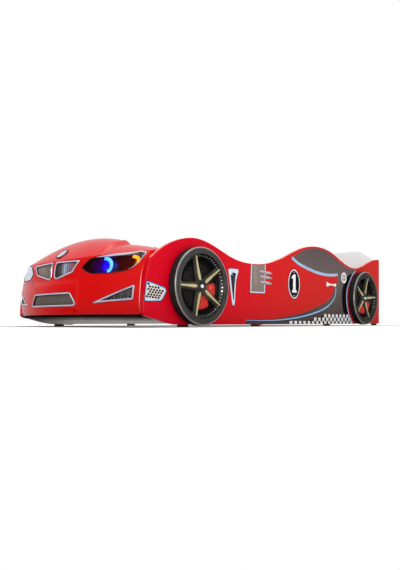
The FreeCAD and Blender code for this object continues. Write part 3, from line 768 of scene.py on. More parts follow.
def sideIntake(name, side):
    # slanted slats over a shelf, with short upright ones under it
    grilleFrame("intake_frame_" + name, "intake", side, "side_intake_frame_" + name)
    look, bars = slatLook, []
    loop = outlineOf("intake", side, frameLook["inset"])
    shelf, thick = look["shelf"], look["thick"]
    slanted = np.array([math.cos(look["slant"]) * side, math.sin(look["slant"])])
    rows = (
        ("pitch", slanted, "shortest", look["width"], look["depth"], look["crown"]),
        ("footPitch", np.array([0, -1]), "footShortest", look["footWidth"], look["footDepth"],
         look["lowCrown"]),
    )
    for k in range(-4, look["count"]):
        for pitch, direction, shortest, width, depth, crown in rows:
            origin = np.array([side * (look["start"] + k * look[pitch]), shelf])
            for low, high in clippedRuns(loop, origin, direction):
                low = max(low, look["rim"])
                if high - low > look[shortest]:
                    bars.append(noseBar(origin + direction * low, origin + direction * high, width, depth,
                                        thick, crown))
    for low, high in clippedRuns(loop, (0, shelf), (1, 0)):
        bars.append(noseBar((low, shelf), (high, shelf), look["shelfWidth"], look["shelfDepth"], 0.006,
                            look["lowCrown"]))
    piece = newPiece("intake_slats_" + name, *joined(bars), slatGrey, "grille_grey", angle=40)
    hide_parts("side_intake_mesh_" + name)
    grilleBacking("intake_backing_" + name, "intake", side, blackPlastic)


def barFinish():
    # chromed bars with a painted reflection: pale and dark patches painted across the grille
    material, tree, shader = startMaterial("grille_bar_painted_reflection", **uprightBars["metal"])
    x = coordinates(tree, objectPlace(tree))["X"]
    wander = noise(tree, objectPlace(tree, (10, 1, 1.2)), 6, 2)
    along = ranged(tree, x, 0, 1, From_Min=-0.18, From_Max=0.18)
    reflectionPlace = computed(tree, "MULTIPLY_ADD", wander, 0.02, along)
    tree.links.new(ramp(tree, reflectionPlace, uprightBars["mirrored"]), shader.inputs["Base Color"])
    surface(tree, shader, wander, rough=(0.16, 0.3))
    return material


barsPaintedReflection = barFinish()
lowerGrille()
for sideName, side in sideNames.items():
    upperGrille(sideName, side)
    sideIntake(sideName, side)
print("grilles made")


# headlamps
lamp = {
    "blueArc": [(0.29, 0.283), (0.309, 0.2805), (0.325, 0.269), (0.332, 0.25), (0.328, 0.232),
                (0.313, 0.219)],
    "amberArc": [(0.404, 0.289), (0.424, 0.283), (0.436, 0.267), (0.438, 0.25), (0.432, 0.242)],
    "arcDepth": 0.01, "arcRadius": 0.0044, "lensThick": 0.002, "bucketDepth": 0.026,
    "blueCentre": (0.295, 0.25), "amberCentre": (0.404, 0.264),
    "glows": [((0.3, 0.258), (0.0, 0.0, 1.0), 0.037, 1.9), ((0.302, 0.236), (0.0, 0.01, 1.0), 0.034, 1.4),
              ((0.286, 0.25), (0.02, 0.0, 0.22), 0.08, 1.0), ((0.338, 0.252), (0.0, 0.02, 0.7), 0.02, 0.5),
              ((0.428, 0.262), (0.6, 0.16, 0.0), 0.026, 1.0),
              ((0.392, 0.255), (0.075, 0.004, 0.0), 0.085, 1.0)],
    "rayReach": (0.0075, 0.0105), "rayHalf": 0.002, "rayTop": 0.001, "rayFoot": 0.0015,
    "blueCore": (120, 215, 255), "amberCore": (255, 190, 30), "coreStrength": 3.2,
}


def glowMaterial(side, name):
    # black bucket with a painted glow from its own lamps, brightest close to each of them
    material, tree, shader = startMaterial("lamp_bucket_painted_glow_" + name, Roughness=0.3, specular=0.4,
                                           Emission_Strength=1.1)
    place = addNode(tree, "TexCoord").outputs["Object"]
    wander = noise(tree, objectPlace(tree, (8, 8, 90)), 6, 4)
    tree.links.new(ramp(tree, wander, [(0.3, (6, 4, 8)), (0.75, (34, 14, 22))]),
                   shader.inputs["Base Color"])
    total = (0, 0, 0)
    for centre, colour, reach, power in lamp["glows"]:
        spot = Vector(onNose(centre[0] * side, centre[1], -lamp["bucketDepth"])) + Vector((0, frontAxle, 0))
        away = computed(tree, "DISTANCE", place, spot, kind="VectorMath")
        fade = addNode(tree, "MapRange", {"interpolation_type": "SMOOTHERSTEP"}, Value=away,
                       From_Min=reach, From_Max=0.002, To_Min=0, To_Max=power).outputs["Result"]
        tint = addNode(tree, "VectorMath", {"operation": "SCALE"}, Vector=colour, Scale=fade)
        total = computed(tree, "ADD", tint.outputs["Vector"], total, kind="VectorMath", output="Vector")
    # painted glow: the bucket gives off the lamps' light itself
    tree.links.new(total, shader.inputs["Emission Color"])
    return material


def lensMaterial():
    # smoked clear plastic with faint streaks moulded along it and painted paler along them as reflection
    # streaks, and a painted glare where it turns away
    material, tree, shader = startMaterial("smoked_lens", Roughness=0.06, specular=0.6, Coat_Weight=0.4,
                                           Coat_Roughness=0.04)
    streaks = noise(tree, objectPlace(tree, (4, 4, 120)), 3, 3)
    facing = addNode(tree, "LayerWeight", Blend=0.5).outputs["Facing"]
    # the paler streak tones are painted reflection streaks
    smoke = ramp(tree, streaks, [(0.4, (26, 0, 4)), (0.62, (60, 10, 16)), (0.8, (120, 40, 44))])
    # painted glare where the lens turns away from the eye
    paintedGlare = ramp(tree, streaks, [(0.3, (206, 216, 244)), (0.7, (236, 240, 250))])
    turned = addNode(tree, "MapRange", {"interpolation_type": "SMOOTHSTEP"}, Value=facing,
                     From_Min=0.4, From_Max=0.72).outputs["Result"]
    tree.links.new(choose(tree, turned, smoke, paintedGlare), shader.inputs["Base Color"])
    tree.links.new(ranged(tree, turned, 0.3, 0.86), shader.inputs["Alpha"])
    surface(tree, shader, streaks, bump=0.25, distance=0.0012)
    return material


def lightMaterial(name, core, edge):
    # light pipe, uneven along its length
    material, tree, shader = startMaterial(name, Roughness=0.4, Emission_Strength=lamp["coreStrength"])
    dots = addNode(tree, "TexVoronoi", Vector=objectPlace(tree), Scale=150).outputs["Distance"]
    colour = ramp(tree, dots, [(0.15, core), (0.75, edge)])
    for socket in ("Emission Color", "Base Color"):
        tree.links.new(colour, shader.inputs[socket])
    return material


def tubeAlong(points, radii, sides=10):
    ahead = np.gradient(points, axis=0)
    ahead /= np.linalg.norm(ahead, axis=1)[:, None]
    verts = []
    for p, t, r in zip(points, ahead, radii):
        u = np.cross(t, (0, 1, 0))
        u /= np.linalg.norm(u)
        v = np.cross(t, u)
        for k in range(sides):
            a = 2 * math.pi * k / sides
            verts.append(tuple(p + (u * math.cos(a) + v * math.sin(a)) * r))
    return verts, barFaces(len(points), sides)


def lightArc(kind, name, side, material, teeth):
    # the lit C and the short rays that fan from its inner edge
    centre, depth = np.array(lamp[kind + "Centre"]), lamp["arcDepth"]
    line = splineThrough(lamp[kind + "Arc"], 34)
    path = onNose(line[:, 0] * side, line[:, 1], -depth)
    ends = np.sin(np.linspace(0.25, math.pi - 0.25, len(path))) ** 0.4
    parts = [tubeAlong(path, lamp["arcRadius"] * ends)]
    for k, s in enumerate(np.linspace(1, len(line) - 2, teeth)):
        p = line[int(s)]
        inward = centre - p
        inward /= np.linalg.norm(inward)
        tip = p + inward * lamp["rayReach"][k % 2]
        across = np.array([-inward[1], inward[0]]) * lamp["rayHalf"]
        corners = [p + across, p - across, tip - across * 0.3, tip + across * 0.3]
        ray = []
        for height in (lamp["rayTop"], -lamp["rayFoot"]):
            ray += [tuple(onNose(c[0] * side, c[1], height - depth)) for c in corners]
        parts.append((ray, barFaces(2, 4)))
    piece = newPiece(kind + "_arc_" + name, *joined(parts), material, kind + "_light")
    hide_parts(kind + "_ring_" + name)


lampStrip = {
    "line": [(0.262, 0.2825), (0.297, 0.2862), (0.35, 0.2915), (0.405, 0.2958), (0.44, 0.298),
             (0.449, 0.2935), (0.4478, 0.278), (0.4448, 0.262), (0.436, 0.248), (0.425, 0.2365),
             (0.408, 0.229)],
    "width": [0.0012, 0.003, 0.006, 0.0078, 0.0075, 0.006, 0.0034, 0.003, 0.0026, 0.002, 0.001],
    "section": [(-0.35, 0.001), (-0.2, 0.0026), (0.2, 0.003), (0.6, 0.0026), (0.75, 0.0012), (0.75, -0.002),
                (-0.35, -0.002)],
    "count": 70,
}


def lampBrow(name, side):
    # pale strip over the top of the lamp and down its outer corner
    count, widths = lampStrip["count"], lampStrip["width"]
    line = splineThrough(lampStrip["line"], count)
    wide = np.interp(np.linspace(0, 1, count), np.linspace(0, 1, len(widths)), widths)
    verts = []
    for p, n, w in zip(line, sideways(line), wide):
        for s, h in lampStrip["section"]:
            q = p + n * w * s
            verts.append(tuple(onNose(q[0] * side, q[1], h)))
    faces = barFaces(count, len(lampStrip["section"]))
    newPiece("lamp_brow_" + name, verts, faces, chrome, "chrome_trim", angle=45)


lensGlass = lensMaterial()
blueLight = lightMaterial("blue_light", lamp["blueCore"], (60, 150, 255))
amberLight = lightMaterial("amber_light", lamp["amberCore"], (230, 120, 0))
lampFrame = {
    "rim": [(0.001, -0.002), (0.0012, 0.001), (0.0002, 0.0019), (-0.0012, 0.0019), (-0.0022, 0.001),
            (-0.0024, -0.002)],
    "wall": [(-0.0004, -0.001), (0.0016, -0.001), (0.0022, -0.031), (-0.001, -0.031)],
}
for sideName, side in sideNames.items():
    wall = noseRing("lamp_wall_" + sideName, "lamp", side, lampFrame["wall"], blackPlastic, "lamp_black")
    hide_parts("lamp_housing_" + sideName)
    bucket = noseSheet("lamp", side, 0.0015, lamp["bucketDepth"], 0.002, glowMaterial(side, sideName),
                       cell=0.005)
    placePiece("lamp_reflector_" + sideName, bucket)
    noseRing("lamp_rim_" + sideName, "lamp", side, lampFrame["rim"], darkTrim, "chrome_trim")
    lampBrow(sideName, side)
    lens = noseSheet("lamp", side, -0.0022, -0.0004, lamp["lensThick"], lensGlass, cell=0.005)
    lens = placePiece("lamp_glass_" + sideName, lens)
    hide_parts("lamp_lens_" + sideName)
    lightArc("blue", sideName, side, blueLight, 22)
    lightArc("amber", sideName, side, amberLight, 13)
print("headlamps made")


# badge on the bonnet: a plain round one
badge = {"y": -0.35, "radius": 0.031, "rise": 0.0042}


def noseBadge():
    line = bonnetLine(0.0, 400)

    def heightAt(y):
        return float(np.interp(y, line[:, 0], line[:, 1]))

    y, reach = badge["y"], 0.02
    slope = Vector((0, 2 * reach, heightAt(y + reach) - heightAt(y - reach))).normalized()
    centre, across = Vector((0, y, heightAt(y))), Vector((1, 0, 0))
    up = across.cross(slope)

    def spun(profile, count=64):
        verts = []
        for radius, height in profile:
            for k in range(count):
                a = 2 * math.pi * k / count
                out = across * math.cos(a) + slope * math.sin(a)
                verts.append(tuple(centre + out * radius + up * height))
        return verts, barFaces(len(profile), count)

    r, h = badge["radius"], badge["rise"]
    ring = [(r, -0.004), (r, h * 0.5), (r - 0.001, h * 0.9), (r - 0.003, h * 0.95), (r - 0.0045, h * 0.6),
            (r - 0.0045, -0.004)]
    ringPiece = newPiece("badge_ring", *spun(ring), darkTrim, "chrome_trim", angle=40)
    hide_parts("bonnet_badge")
    dome = [(r - 0.0044, -0.003), (r - 0.0044, h * 0.62), (r * 0.62, h * 0.78), (r * 0.58, h * 0.62),
            (r * 0.52, h * 0.8), (r * 0.25, h * 0.95), (0.0015, h)]
    newPiece("badge_dome", *spun(dome), chrome, "chrome_trim", angle=40)


noseBadge()
print("badge made")


# wheels
wheel = {
    "face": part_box("tyre_front_left")[1].x - panelFace,       # how far the face stands off the panel
    "spokes": {"front": (180, 108, 36, -36, -108), "rear": (148, 76, 4, -68, -140)},
    "grooves": (0.0105, 0.018, 0.0255), "seat": 0.8,         # the seat is a share of the tyre's radius
    "caliper": {"front": (12, -100), "rear": (-20, -122)},
    "hubDepth": 0.0085, "nutCircle": 0.0145, "rivets": 52, "rivetCircle": 0.772, "rivetWidth": 0.0018,
}


def polarPoint(r, a, off, centreY, side, across=0.0):
    # a point at angle a round the axle, off the panel, with a step sideways
    y = r * math.cos(a) - across * math.sin(a)
    z = r * math.sin(a) + across * math.cos(a)
    return (side * (panelFace + off), centreY + y, axleHeight + z)


def turnedPart(profile, spot, segments=160):
    # a closed section turned about the axle
    verts = []
    for off, r in profile:
        verts += [polarPoint(r, 2 * math.pi * k / segments, off, *spot) for k in range(segments)]
    return verts, gridFaces(len(profile), segments, True, True)


def tyreParts(tag, spot):
    big, face = tyreRadius, wheel["face"]
    seat = wheel["seat"] * big
    tread = [(0, seat), (0, big - 0.004), (0.004, big)]
    for off in wheel["grooves"]:
        tread += [(off - 0.0012, big), (off - 0.0007, big - 0.0008), (off + 0.0007, big - 0.0008),
                  (off + 0.0012, big)]
    tread += [(face - 0.006, big), (face - 0.0028, big - 0.0012), (face - 0.0008, big - 0.0035),
              (face - 0.0008, big - 0.005), (face - 0.02, big - 0.006), (face - 0.02, seat)]
    tyre = newPiece("tyre_tread_" + tag, *turnedPart(tread, spot), rubber, "tyre_black", angle=24)
    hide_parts("tyre_" + tag)
    wall = [(face - 0.001, big - 0.0038), (face + 0.0001, big - 0.0052), (face + 0.0003, big - 0.0068),
            (face - 0.0004, big - 0.0085), (face + 0.0004, big - 0.0125), (face + 0.0004, 0.9 * big),
            (face - 0.0002, 0.895 * big), (face + 0.0002, 0.89 * big), (face - 0.0003, 0.845 * big),
            (face + 0.0006, 0.84 * big), (face + 0.0004, 0.825 * big), (face - 0.004, 0.82 * big),
            (face - 0.019, 0.82 * big), (face - 0.019, big - 0.0055)]
    newPiece("tyre_sidewall_" + tag, *turnedPart(wall, spot), sidewallRubber, "tyre_black", angle=30)
    # a pale ring at the tread's outer edge, a painted highlight
    shoulder = [(face - 0.0034, big - 0.0006), (face - 0.0016, big - 0.0014), (face - 0.0002, big - 0.0028),
                (face + 0.0005, big - 0.0046), (face + 0.0004, big - 0.0062), (face - 0.003, big - 0.0062)]
    newPiece("tyre_shoulder_highlight_" + tag, *turnedPart(shoulder, spot), shoulderHighlightRubber, "tyre_black", angle=60)


def rimParts(tag, spot):
    big, face = tyreRadius, wheel["face"]
    lip = [(face - 0.0006, 0.822 * big), (face + 0.0004, 0.815 * big), (face - 0.001, 0.805 * big),
           (face - 0.0045, wheel["seat"] * big), (face - 0.0135, 0.735 * big), (face - 0.015, 0.722 * big),
           (face - 0.03, 0.712 * big), (face - 0.033, 0.7 * big), (0.003, 0.7 * big), (0.003, 0.822 * big)]
    lipPiece = newPiece("rim_lip_" + tag, *turnedPart(lip, spot), rimDark, "rim_dark", angle=30)
    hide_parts("rim_" + tag)
    dish = [(0.0015, 0.0005), (0.004, 0.03), (0.004, 0.715 * big), (0.0015, 0.715 * big)]
    newPiece("rim_dish_" + tag, *turnedPart(dish, spot, 96), rimDark, "rim_dark")


def spokeParts(a, spot):
    # a broad dark arm with a narrow bright ridge, sweeping up to the lip
    arm, ridge = [], []
    stations, hubRadius = 14, 0.024
    for s in np.linspace(0, 1, stations):
        r = hubRadius + (wheel["seat"] * tyreRadius - hubRadius) * s
        top = wheel["face"] - 0.0085 + 0.0075 * s ** 2.2
        half = 0.0205 - 0.009 * s ** 0.8 + 0.004 * s ** 6
        crest = 0.0016 + 0.0062 * min(s / 0.12, 1) - 0.005 * s
        armSection = [(half, 0.013), (half * 0.93, 0.007), (crest + 0.0012, 0.0022)]
        ridgeSection = [(crest, 0.003), (crest, 0.0006), (crest * 0.5, 0)]
        for row, section, middle in ((arm, armSection, 0.0018), (ridge, ridgeSection, -0.0003)):
            outline = [(-w, drop) for w, drop in section] + [(0, middle)] + section[::-1]
            row += [polarPoint(r, a, top - drop, *spot, w) for w, drop in outline]
    faces = barFaces(stations, 7)
    return (arm, faces), (ridge, faces)


def spokesAndHub(tag, axle, spot):
    off = wheel["face"] - wheel["hubDepth"]
    arms, ridges = zip(*[spokeParts(math.radians(degrees), spot) for degrees in wheel["spokes"][axle]])
    hub = [(0.004, 0.028), (off - 0.01, 0.0295), (off - 0.001, 0.028), (off + 0.0008, 0.0265),
           (off + 0.0008, 0.0215), (off - 0.0008, 0.0205), (off - 0.0008, 0.0003), (0.004, 0.0003)]
    arms += (turnedPart(hub, spot, 64),)
    newPiece("spokes_" + tag, *joined(arms), gunmetal, "rim_dark", angle=35)
    newPiece("spoke_ridges_" + tag, *joined(ridges), gold, "rim_dark", angle=45)
    nuts = []
    for degrees in wheel["spokes"][axle]:
        # one nut half way between two spokes
        x, y, z = polarPoint(wheel["nutCircle"], math.radians(degrees + 36), 0, *spot)
        nut = []
        for lift, r in ((-0.004, 0.0028), (0.0004, 0.0028), (0.0012, 0.0018)):
            for k in range(6):
                a = k * math.pi / 3
                nut.append((x + spot[1] * (off + lift), y + r * math.cos(a), z + r * math.sin(a)))
        nuts.append((nut, barFaces(3, 6)))
    newPiece("wheel_nuts_" + tag, *joined(nuts), rimDark, "rim_dark", angle=30)
    cap = [(off - 0.003, 0.0078), (off + 0.003, 0.0078), (off + 0.0046, 0.0066), (off + 0.0052, 0.0045),
           (off + 0.0054, 0.0004), (off - 0.003, 0.0004)]
    return newPiece("hub_cap_" + tag, *turnedPart(cap, spot, 40), capWhite, "hub_white", angle=40)


def lipRivets(tag, spot):
    wide, rivets = wheel["rivetWidth"], []
    for k in range(wheel["rivets"]):
        a = 2 * math.pi * k / wheel["rivets"]
        long = 0.0036 if k % 3 else 0.006
        flat = []
        for lift, scale in ((-0.001, 1.0), (0.0009, 1.0), (0.0014, 0.6)):
            for w, d in ((-1, -1), (1, -1), (1, 1), (-1, 1)):
                out = d * wide * scale
                off = wheel["face"] - 0.0083 + lift + out * 1.3
                r = wheel["rivetCircle"] * tyreRadius + out
                flat.append(polarPoint(r, a, off, *spot, w * long / 2 * scale))
        rivets.append((flat, barFaces(3, 4)))
    newPiece("lip_rivets_" + tag, *joined(rivets), paleRivet, "hub_white", angle=30)


def brakeDisc(tag, spot):
    big = tyreRadius
    disc = [(0.0065, 0.026), (0.0065, 0.58 * big), (0.0072, 0.59 * big), (0.0098, 0.59 * big),
            (0.0105, 0.58 * big), (0.0105, 0.35 * big), (0.0095, 0.345 * big), (0.0095, 0.3 * big),
            (0.0105, 0.295 * big), (0.0105, 0.026)]
    return newPiece("brake_disc_" + tag, *turnedPart(disc, spot, 96), discSteel, "disc_grey", angle=30)


caliperSection = [(0.0108, 0.25), (0.0165, 0.265), (0.0195, 0.3), (0.0205, 0.36), (0.0176, 0.375),
                  (0.0176, 0.405), (0.0208, 0.42), (0.0208, 0.53), (0.019, 0.575), (0.016, 0.595),
                  (0.0108, 0.6)]


def brakeCaliper(tag, axle, spot):
    # two blocks with a thin bridge between them, each with a bolt hollow
    first, last = wheel["caliper"][axle]
    steps, middle = 57, 0.43
    verts = []
    for s, a in zip(np.linspace(0, 1, steps), np.radians(np.linspace(first, last, steps))):
        lobe = min(abs(s - 0.5) / 0.5, 1.0)
        block = smoothStep((lobe - 0.1) / 0.14)
        swell = 0.3 + 0.7 * block - 0.3 * smoothStep((lobe - 0.8) / 0.2)
        hollow = 0.004 * math.exp(-((lobe - 0.56) / 0.06) ** 2) + 0.0035 * (1 - block)
        for off, r in caliperSection:
            off -= hollow * (off > 0.017) * (0.36 < r < 0.56 or lobe < 0.3)
            verts.append(polarPoint((middle + (r - middle) * swell) * tyreRadius, a, off, *spot))
    faces = barFaces(steps, len(caliperSection))
    return newPiece("caliper_" + tag, verts, faces, caliperRed, "caliper_red", angle=30)


for axle, centreY in (("front", 0.0), ("rear", wheelbase)):
    for sideName, side in sideNames.items():
        tag, spot = axle + "_" + sideName, (centreY, side)
        tyreParts(tag, spot)
        rimParts(tag, spot)
        made = [spokesAndHub(tag, axle, spot)]
        lipRivets(tag, spot)
        made += [brakeDisc(tag, spot), brakeCaliper(tag, axle, spot)]
        if tag == "front_left":
            for piece, node in zip(made, ("hub_caps", "brake_discs", "brake_calipers")):
                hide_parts(node)
print("wheels made")


# printed pictures on the side panels, (y, z) from the front axle and the floor
def printTone(name, low, high, scale=9):
    return grained("print_" + name, low, high, scale, rough=(0.34, 0.42), bump=0.03, bumpScale=300,
                   specular=0.22)


def greyPrint():
    # smoky grey that darkens towards the skirt
    material, tree, shader = startMaterial("print_grey", specular=0.2)
    place = objectPlace(tree)
    height = computed(tree, "MULTIPLY_ADD", noise(tree, place, 7, 4), 0.05, coordinates(tree, place)["Z"])
    colour = ramp(tree, height, [(0.03, (76, 66, 64)), (0.12, (92, 80, 76)), (0.3, (110, 97, 95)),
                                 (0.47, (92, 80, 82))])
    tree.links.new(colour, shader.inputs["Base Color"])
    surface(tree, shader, noise(tree, place, 320, 2), rough=(0.34, 0.44))
    return material


inkTones = {
    "patch": [(134, 122, 113), (142, 130, 122)],
    "black": [(10, 9, 11), (20, 18, 20)],
    "blue": [(140, 190, 236), (160, 204, 244)],
    "pale": [(202, 220, 236), (220, 228, 240)],
    "white": [(240, 240, 236), (250, 250, 248)],
    "cream": [(226, 214, 202), (240, 230, 222)],
    "silver": [(150, 138, 134), (188, 178, 176), 60],      # the third number is a finer scale
    "rose": [(208, 130, 150), (220, 160, 180)],
    "maroon": [(120, 8, 26), (140, 12, 30)],
}
inks = {name: printTone(name, *tones) for name, tones in inkTones.items()}
inks["grey"] = greyPrint()
inks["streaks"] = grained("print_streaks", (16, 14, 22), (120, 116, 136), 26, stretch=(1, 9, 0.4),
                          rough=(0.3, 0.4), specular=0.3)
layerStep = 0.00016


def panelPrint(name, rings, ink, layer, flipAbout=None):
    # one print on each side panel, the same place on both
    for sideName, side in sideNames.items():
        shapes = rings
        if side < 0 and flipAbout is not None:
            shapes = [np.array([(2 * flipAbout - y, z) for y, z in ring])[::-1] for ring in rings]
        flat, faces = filledPlate(shapes, layerStep)
        off = panelFace + layerStep * (layer + 0.5)
        verts = [(side * (off + w), u, v) for u, v, w in flat]
        newPiece("print_" + name + "_" + sideName, verts, faces, inks[ink], "red_panel", angle=60)


sidePrint = {
    "windowTop": [(0.732, 0.362), (0.825, 0.405), (0.942, 0.431), (1.01, 0.434), (1.057, 0.431),
                  (1.144, 0.412), (1.246, 0.374), (1.33, 0.354), (1.4, 0.346), (1.436, 0.345)],
    "windowFoot": [(0.727, 0.359), (0.79, 0.334), (0.873, 0.315), (0.95, 0.302), (1.025, 0.295),
                   (1.11, 0.293), (1.212, 0.302)],
    "door": [(0.335, 0.031), (0.518, 0.034), (0.687, 0.05), (0.873, 0.08), (1.025, 0.12), (1.144, 0.168),
             (1.189, 0.205), (1.206, 0.295)],
    "stripeWidth": [0.003, 0.004, 0.0055, 0.0075, 0.0085, 0.0088, 0.0085, 0.007],
    "stripe": [(0.335, 0.03), (0.43, 0.0285), (0.518, 0.029), (0.687, 0.037), (0.825, 0.051),
               (0.973, 0.076), (1.078, 0.105), (1.155, 0.146), (1.186, 0.184), (1.19, 0.222)],
    "arch": [(1.436, 0.34), (1.388, 0.305), (1.354, 0.263), (1.328, 0.218), (1.32, 0.174), (1.326, 0.125),
             (1.342, 0.081), (1.375, 0.04), (1.405, 0.011)],
    "crescent": [(1.372, 0.318), (1.322, 0.29), (1.288, 0.254), (1.268, 0.21), (1.264, 0.172),
                 (1.27, 0.125), (1.282, 0.086), (1.318, 0.056)],
    "ventPlate": [(-0.28, 0.18), (-0.184, 0.157), (-0.176, 0.146), (-0.203, 0.106), (-0.291, 0.102)],
    "gillOuter": [(0.207, 0.264), (0.284, 0.266), (0.263, 0.214), (0.2525, 0.098), (0.2365, 0.098),
                  (0.224, 0.165)],
    "gillInner": [(0.222, 0.247), (0.262, 0.247), (0.253, 0.205), (0.2465, 0.122), (0.2425, 0.122),
                  (0.234, 0.17)],
    "patch": [(0.38, 0.345), (0.495, 0.345), (0.485, 0.163), (0.37, 0.161)],
    "plate": {"centre": (0.746, 0.222), "half": (0.0545, 0.077)},
    "fuelCap": {"centre": (1.288, 0.288), "radius": 0.033},
}


def clampedCrest(line, margin):
    # keeps a line a margin below the top edge of the panel
    crest = np.array([(v.co.y - frontAxle, v.co.z) for v in nodes["side_panel_left"].data.vertices
                      if abs(v.co.x - panelFace) < 1e-4 and v.co.z > 0.25])
    crest = crest[np.argsort(crest[:, 0])]
    top = np.interp(line[:, 0], crest[:, 0], crest[:, 1]) - margin
    return np.stack([line[:, 0], np.minimum(line[:, 1], top)], 1)


def panelPrints():
    door = splineThrough(sidePrint["door"], 60)
    door = np.vstack([door[:-10], [(1.203, 0.25), (1.209, 0.299)]])
    top = clampedCrest(splineThrough(sidePrint["windowTop"], 80), 0.002)
    arch = splineThrough(sidePrint["arch"], 50)
    foot = splineThrough(sidePrint["windowFoot"], 40)
    body = np.vstack([top, arch[1:], [(0.335, 0.011)], door, foot[::-1][1:-1]])
    panelPrint("grey", [body], "grey", 0)
    panelPrint("stripe_edge", [bandAround(sidePrint["stripe"], sidePrint["stripeWidth"], extra=0.0055)],
               "black", 1)
    panelPrint("stripe", [bandAround(sidePrint["stripe"], sidePrint["stripeWidth"])], "blue", 2)
    panelPrint("window_edge", [bandAround(sidePrint["windowFoot"], 0.0175)], "silver", 1)
    panelPrint("window_line", [bandAround(sidePrint["windowFoot"], 0.0105)], "blue", 2)
    inner = splineThrough(sidePrint["crescent"], 40)
    panelPrint("crescent", [np.vstack([inner, arch[::-1][8:-6]])], "black", 1)
    panelPrint("arch_shade", [bandAround([(y + 0.009, z) for y, z in sidePrint["arch"]], 0.016)],
               "maroon", 1)
    panelPrint("arch_line", [bandAround(sidePrint["arch"], 0.0065)], "blue", 3)
    panelPrint("arch_edge", [bandAround([(y + 0.005, z) for y, z in sidePrint["arch"]], 0.005)], "rose", 2)


checkerLook = {
    "rows": ((0.0108, 0.0275), (0.0275, 0.047), (0.047, 0.067)), "start": 0.704, "pitch": 0.044,
    "count": 17,
    "block": 0.026, "gap": 0.0004, "archGap": 0.005, "shortest": 0.006, "corner": 0.002, "slack": 0.008,
    "rise": [(0.7, 0.012), (0.718, 0.02), (0.9, 0.03), (0.99, 0.047), (1.08, 0.062), (1.11, 0.067),
             (1.4, 0.067)],
    "foot": [(0.7, 0.0105), (1.404, 0.0105)],
}


def checkers():
    # three rows of white blocks on black, cut off by a rising line and by the arch
    look, blocks = checkerLook, []
    rise, gap = np.array(look["rise"]), look["gap"]
    arch = splineThrough(sidePrint["arch"], 80)[::-1]
    edge = arch[arch[:, 1] < look["rows"][-1][1]]
    ground = np.vstack([look["foot"], edge, [rise[-2]], rise[::-1][2:]])
    panelPrint("checker_ground", [ground], "black", 1)
    for row, (low, high) in enumerate(look["rows"]):
        for k in range(look["count"]):
            start = look["start"] + look["pitch"] * k + (look["pitch"] / 2 if row == 1 else 0)
            end = start + look["block"]
            if np.interp((start + end) / 2, rise[:, 0], rise[:, 1]) < high - look["slack"]:
                continue
            limit = float(np.interp((low + high) / 2, edge[:, 1], edge[:, 0])) - look["archGap"]
            end = min(end, limit)
            if end - start > look["shortest"]:
                corners = [(start, low + gap), (end, low + gap), (end, high - gap), (start, high - gap)]
                blocks.append(softLoop(corners, look["corner"], step=0.02))
    panelPrint("checkers", blocks, "white", 2)


ventHoles = {
    "rows": 8, "columns": 10, "first": (-0.286, 0.11), "pitch": 0.0148, "rowPitch": 0.01, "droop": 0.001,
    "radii": (0.006, 0.0046), "margin": 0.0085, "corner": 0.01,
}


def ventPlate():
    plate, look, holes = sidePrint["ventPlate"], ventHoles, []
    layers = (("outline", 0.0035, "black"), ("edge", 0.0005, "blue"), ("plate", -0.0045, "cream"))
    for layer, (part, grow, ink) in enumerate(layers):
        panelPrint("vent_" + part, [softLoop(plate, look["corner"], grow)], ink, layer)
    inside = softLoop(plate, look["corner"], -look["margin"])
    for row in range(look["rows"]):
        for k in range(look["columns"]):
            # every other row is shifted by half a step
            y = look["first"][0] + look["pitch"] * (k + (row % 2) / 2)
            z = look["first"][1] + look["rowPitch"] * row - look["droop"] * k
            if any(low < y < high for low, high in clippedRuns(inside, (0, z), (1, 0))):
                holes.append(ellipse((y, z), look["radii"], 18))
    panelPrint("vent_holes", holes, "black", 3)


def gill():
    panelPrint("gill_shade", [softLoop(sidePrint["gillOuter"], 0.014, 0.003)], "maroon", 0)
    panelPrint("gill_trim", [softLoop(sidePrint["gillOuter"], 0.014)], "pale", 1)
    panelPrint("gill_mouth", [softLoop(sidePrint["gillInner"], 0.008)], "black", 2)
    streak = []
    for k, (y, low, high) in enumerate(((0.2335, 0.18, 0.238), (0.241, 0.14, 0.241), (0.248, 0.15, 0.24),
                                        (0.2545, 0.205, 0.238))):
        streak.append(bandAround([(y, low), (y - 0.0005, (low + high) / 2), (y + 0.001, high)],
                                 0.0028 if k % 2 else 0.0018, 12))
    panelPrint("gill_streaks", streak, "streaks", 3)
    panelPrint("gill_glint", [bandAround([(0.213, 0.2585), (0.228, 0.2415), (0.236, 0.238)], 0.006, 16)],
               "white", 3)


def patch():
    layers = (("outline", 0.0035, "maroon"), ("edge", 0.0005, "pale"), ("line", -0.0065, "black"),
              ("field", -0.0085, "patch"))
    for layer, (part, grow, ink) in enumerate(layers):
        ring = clampedCrest(softLoop(sidePrint["patch"], 0.003, grow), 0.0015)
        panelPrint("patch_" + part, [ring], ink, layer)
    rings = []
    for z in (0.214, 0.236, 0.258, 0.28):
        rings += [ellipse((0.409, z), (0.0085, 0.0075), 24), ellipse((0.409, z), (0.0055, 0.0046), 24)]
    panelPrint("patch_rings", rings, "silver", 4)
    pipes, glints, ends = [], [], []
    for z in (0.266, 0.242, 0.215):
        body = [(0.432, z + 0.001), (0.45, z + 0.0075), (0.485, z + 0.0085), (0.52, z + 0.0055),
                (0.551, z - 0.002), (0.54, z - 0.0062), (0.505, z - 0.0085), (0.462, z - 0.0055)]
        pipes.append(body)
        glints.append(bandAround([(0.445, z + 0.0025), (0.485, z + 0.0035), (0.53, z - 0.0005)], 0.0018,
                                 16))
        ends.append(ellipse((0.541, z - 0.002), (0.0055, 0.0028), 16))
    panelPrint("pipe_edges", [softLoop(p, 0.008, 0.0014) for p in pipes], "maroon", 4)
    panelPrint("pipes", [softLoop(p, 0.008) for p in pipes], "silver", 5)
    panelPrint("pipe_glints", glints, "pale", 6)
    panelPrint("pipe_ends", ends, "rose", 6)


